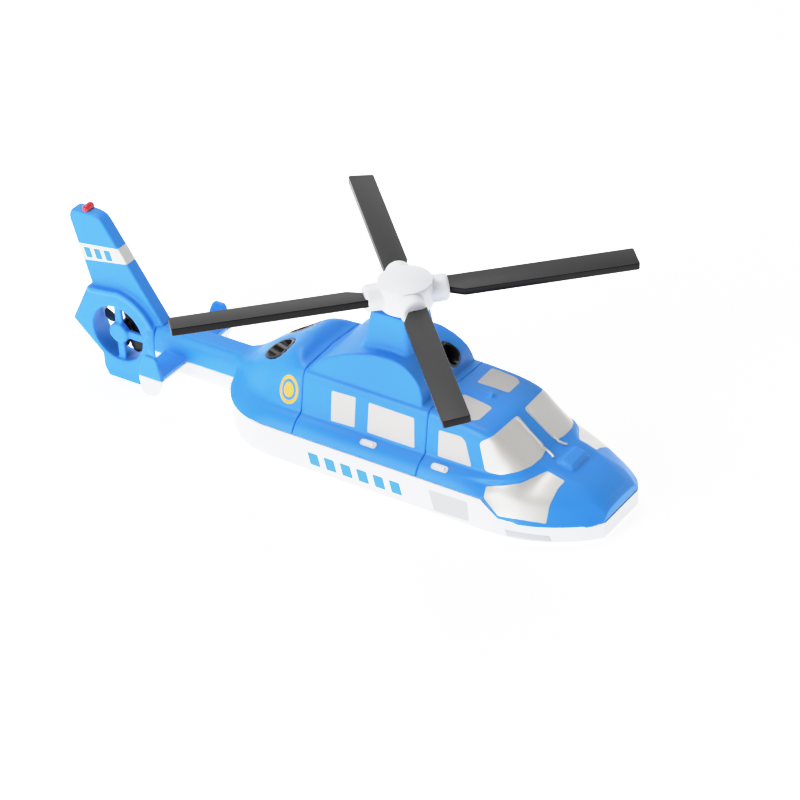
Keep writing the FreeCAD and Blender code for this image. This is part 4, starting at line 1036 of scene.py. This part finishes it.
def make_floor():
    """The table: the plane through the front of the chin and the ventral fin's front corner."""
    chin_x, keel_x, half, gap = TUB_HIGH.x - 3.0, -154.0, 4000, 0.05
    slope = -FIN_LOW.z / (chin_x - keel_x)
    floor = new_object("table", [(-half, -half, 0), (half, -half, 0), (half, half, 0), (-half, half, 0)],
                       [(0, 1, 2, 3)])
    for vert in floor.data.vertices:
        vert.co.z = (vert.co.x / MM - chin_x) * slope * MM - gap * MM
    material = bpy.data.materials.new("table")
    material.use_nodes = True
    shader = material.node_tree.nodes["Principled BSDF"]
    set_inputs(shader, {"Base Color": (0.9, 0.9, 0.9, 1), "Roughness": 0.7, "Emission Color": (1, 1, 1, 1),
                        "Emission Strength": 1.0})
    floor.data.materials.append(material)


def add_area(name, place, target, size, power):
    """A square area light that faces a target."""
    data = bpy.data.lights.new(name, "AREA")
    data.size = size
    data.energy = power
    lamp = add_object(name, data)
    lamp.location = place
    lamp.rotation_euler = (Vector(target) - Vector(place)).to_track_quat("-Z", "Y").to_euler()


def make_world():
    """A pale room that is darker overhead, with a bright wall behind the toy."""
    world = bpy.data.worlds.new("studio")
    world.use_nodes = True
    nodes, links = world.node_tree.nodes, world.node_tree.links
    where = nodes.new("ShaderNodeTexCoord")
    parts = nodes.new("ShaderNodeSeparateXYZ")
    height = nodes.new("ShaderNodeMapRange")
    height.interpolation_type = "SMOOTHSTEP"
    set_inputs(height, {"From Min": 0.42, "From Max": 0.76, "To Min": 1.0, "To Max": 0.0})
    toward = nodes.new("ShaderNodeVectorMath")
    toward.operation = "DOT_PRODUCT"
    toward.inputs[1].default_value = (-0.62, 0.78, 0.0)
    wall = nodes.new("ShaderNodeMapRange")
    set_inputs(wall, {"From Min": -0.2, "From Max": 0.7, "To Min": 0.25, "To Max": 1.05})
    strength = nodes.new("ShaderNodeMath")
    strength.operation = "MULTIPLY_ADD"
    strength.inputs[2].default_value = 0.12
    links.new(where.outputs["Generated"], parts.inputs["Vector"])
    links.new(where.outputs["Generated"], toward.inputs[0])
    links.new(parts.outputs["Z"], height.inputs["Value"])
    links.new(toward.outputs["Value"], wall.inputs["Value"])
    links.new(height.outputs["Result"], strength.inputs[0])
    links.new(wall.outputs["Result"], strength.inputs[1])
    nodes["Background"].inputs["Color"].default_value = (1, 1, 1, 1)
    links.new(strength.outputs["Value"], nodes["Background"].inputs["Strength"])
    bpy.context.scene.world = world


def make_lights():
    """A broad low key light from the starboard side and a softer one overhead."""
    make_world()
    add_area("key", (-0.55, -1.7, 0.85), (-0.03, 0, 0.03), 0.9, 24)
    add_area("top", (-0.5, 0.3, 1.6), (0, 0, 0.03), 1.0, 18)


def make_tone():
    """The camera's response: true in the mid tones, with a soft shoulder in the whites."""
    view = bpy.context.scene.view_settings
    view.view_transform = "Standard"
    view.use_curve_mapping = True
    white = 2.0
    view.curve_mapping.white_level = (white, white, white)
    curve = view.curve_mapping.curves[3]
    for light, shown in ((0.3, 0.3), (0.6, 0.6), (0.9, 0.835), (1.3, 0.92), (1.7, 0.98)):
        curve.points.new(light / white, shown)
    view.curve_mapping.update()


def make_camera():
    """The viewpoint, from the starboard bow and above."""
    azimuth, elevation, roll = math.radians(35.234), math.radians(33.756), math.radians(-3.164)
    place, focal_share = (0.661176, -0.945047, 0.800237), 3.8564
    back = Vector((math.sin(azimuth) * math.cos(elevation), -math.cos(azimuth) * math.cos(elevation),
                   math.sin(elevation)))
    right = Vector((math.cos(azimuth), math.sin(azimuth), 0))
    up = back.cross(right)
    across = right * math.cos(roll) + up * math.sin(roll)
    upward = -right * math.sin(roll) + up * math.cos(roll)
    data = bpy.data.cameras.new("camera")
    data.sensor_width = 36
    data.lens = focal_share * data.sensor_width
    camera = add_object("camera", data)
    turn = Matrix((across, upward, back)).transposed().to_4x4()
    camera.matrix_world = Matrix.Translation(place) @ turn
    bpy.context.scene.camera = camera


def build():
    """The whole toy, then the stage."""
    finish_cad_nodes()
    hull = make_hull()
    make_hull_bosses()
    hull_graphics(hull)
    cabin = make_cabin()
    make_intakes()
    cabin_details(cabin)
    nose = make_nose()
    nose_details(nose)
    tail = make_tail()
    make_boom_lower()
    make_exhausts()
    tail_details(tail)
    fin = make_fin()
    make_band(fin)
    make_fan()
    make_beacon()
    make_hub()
    make_cap()
    make_blades()
    make_floor()
    make_lights()
    make_camera()
    make_tone()


build()
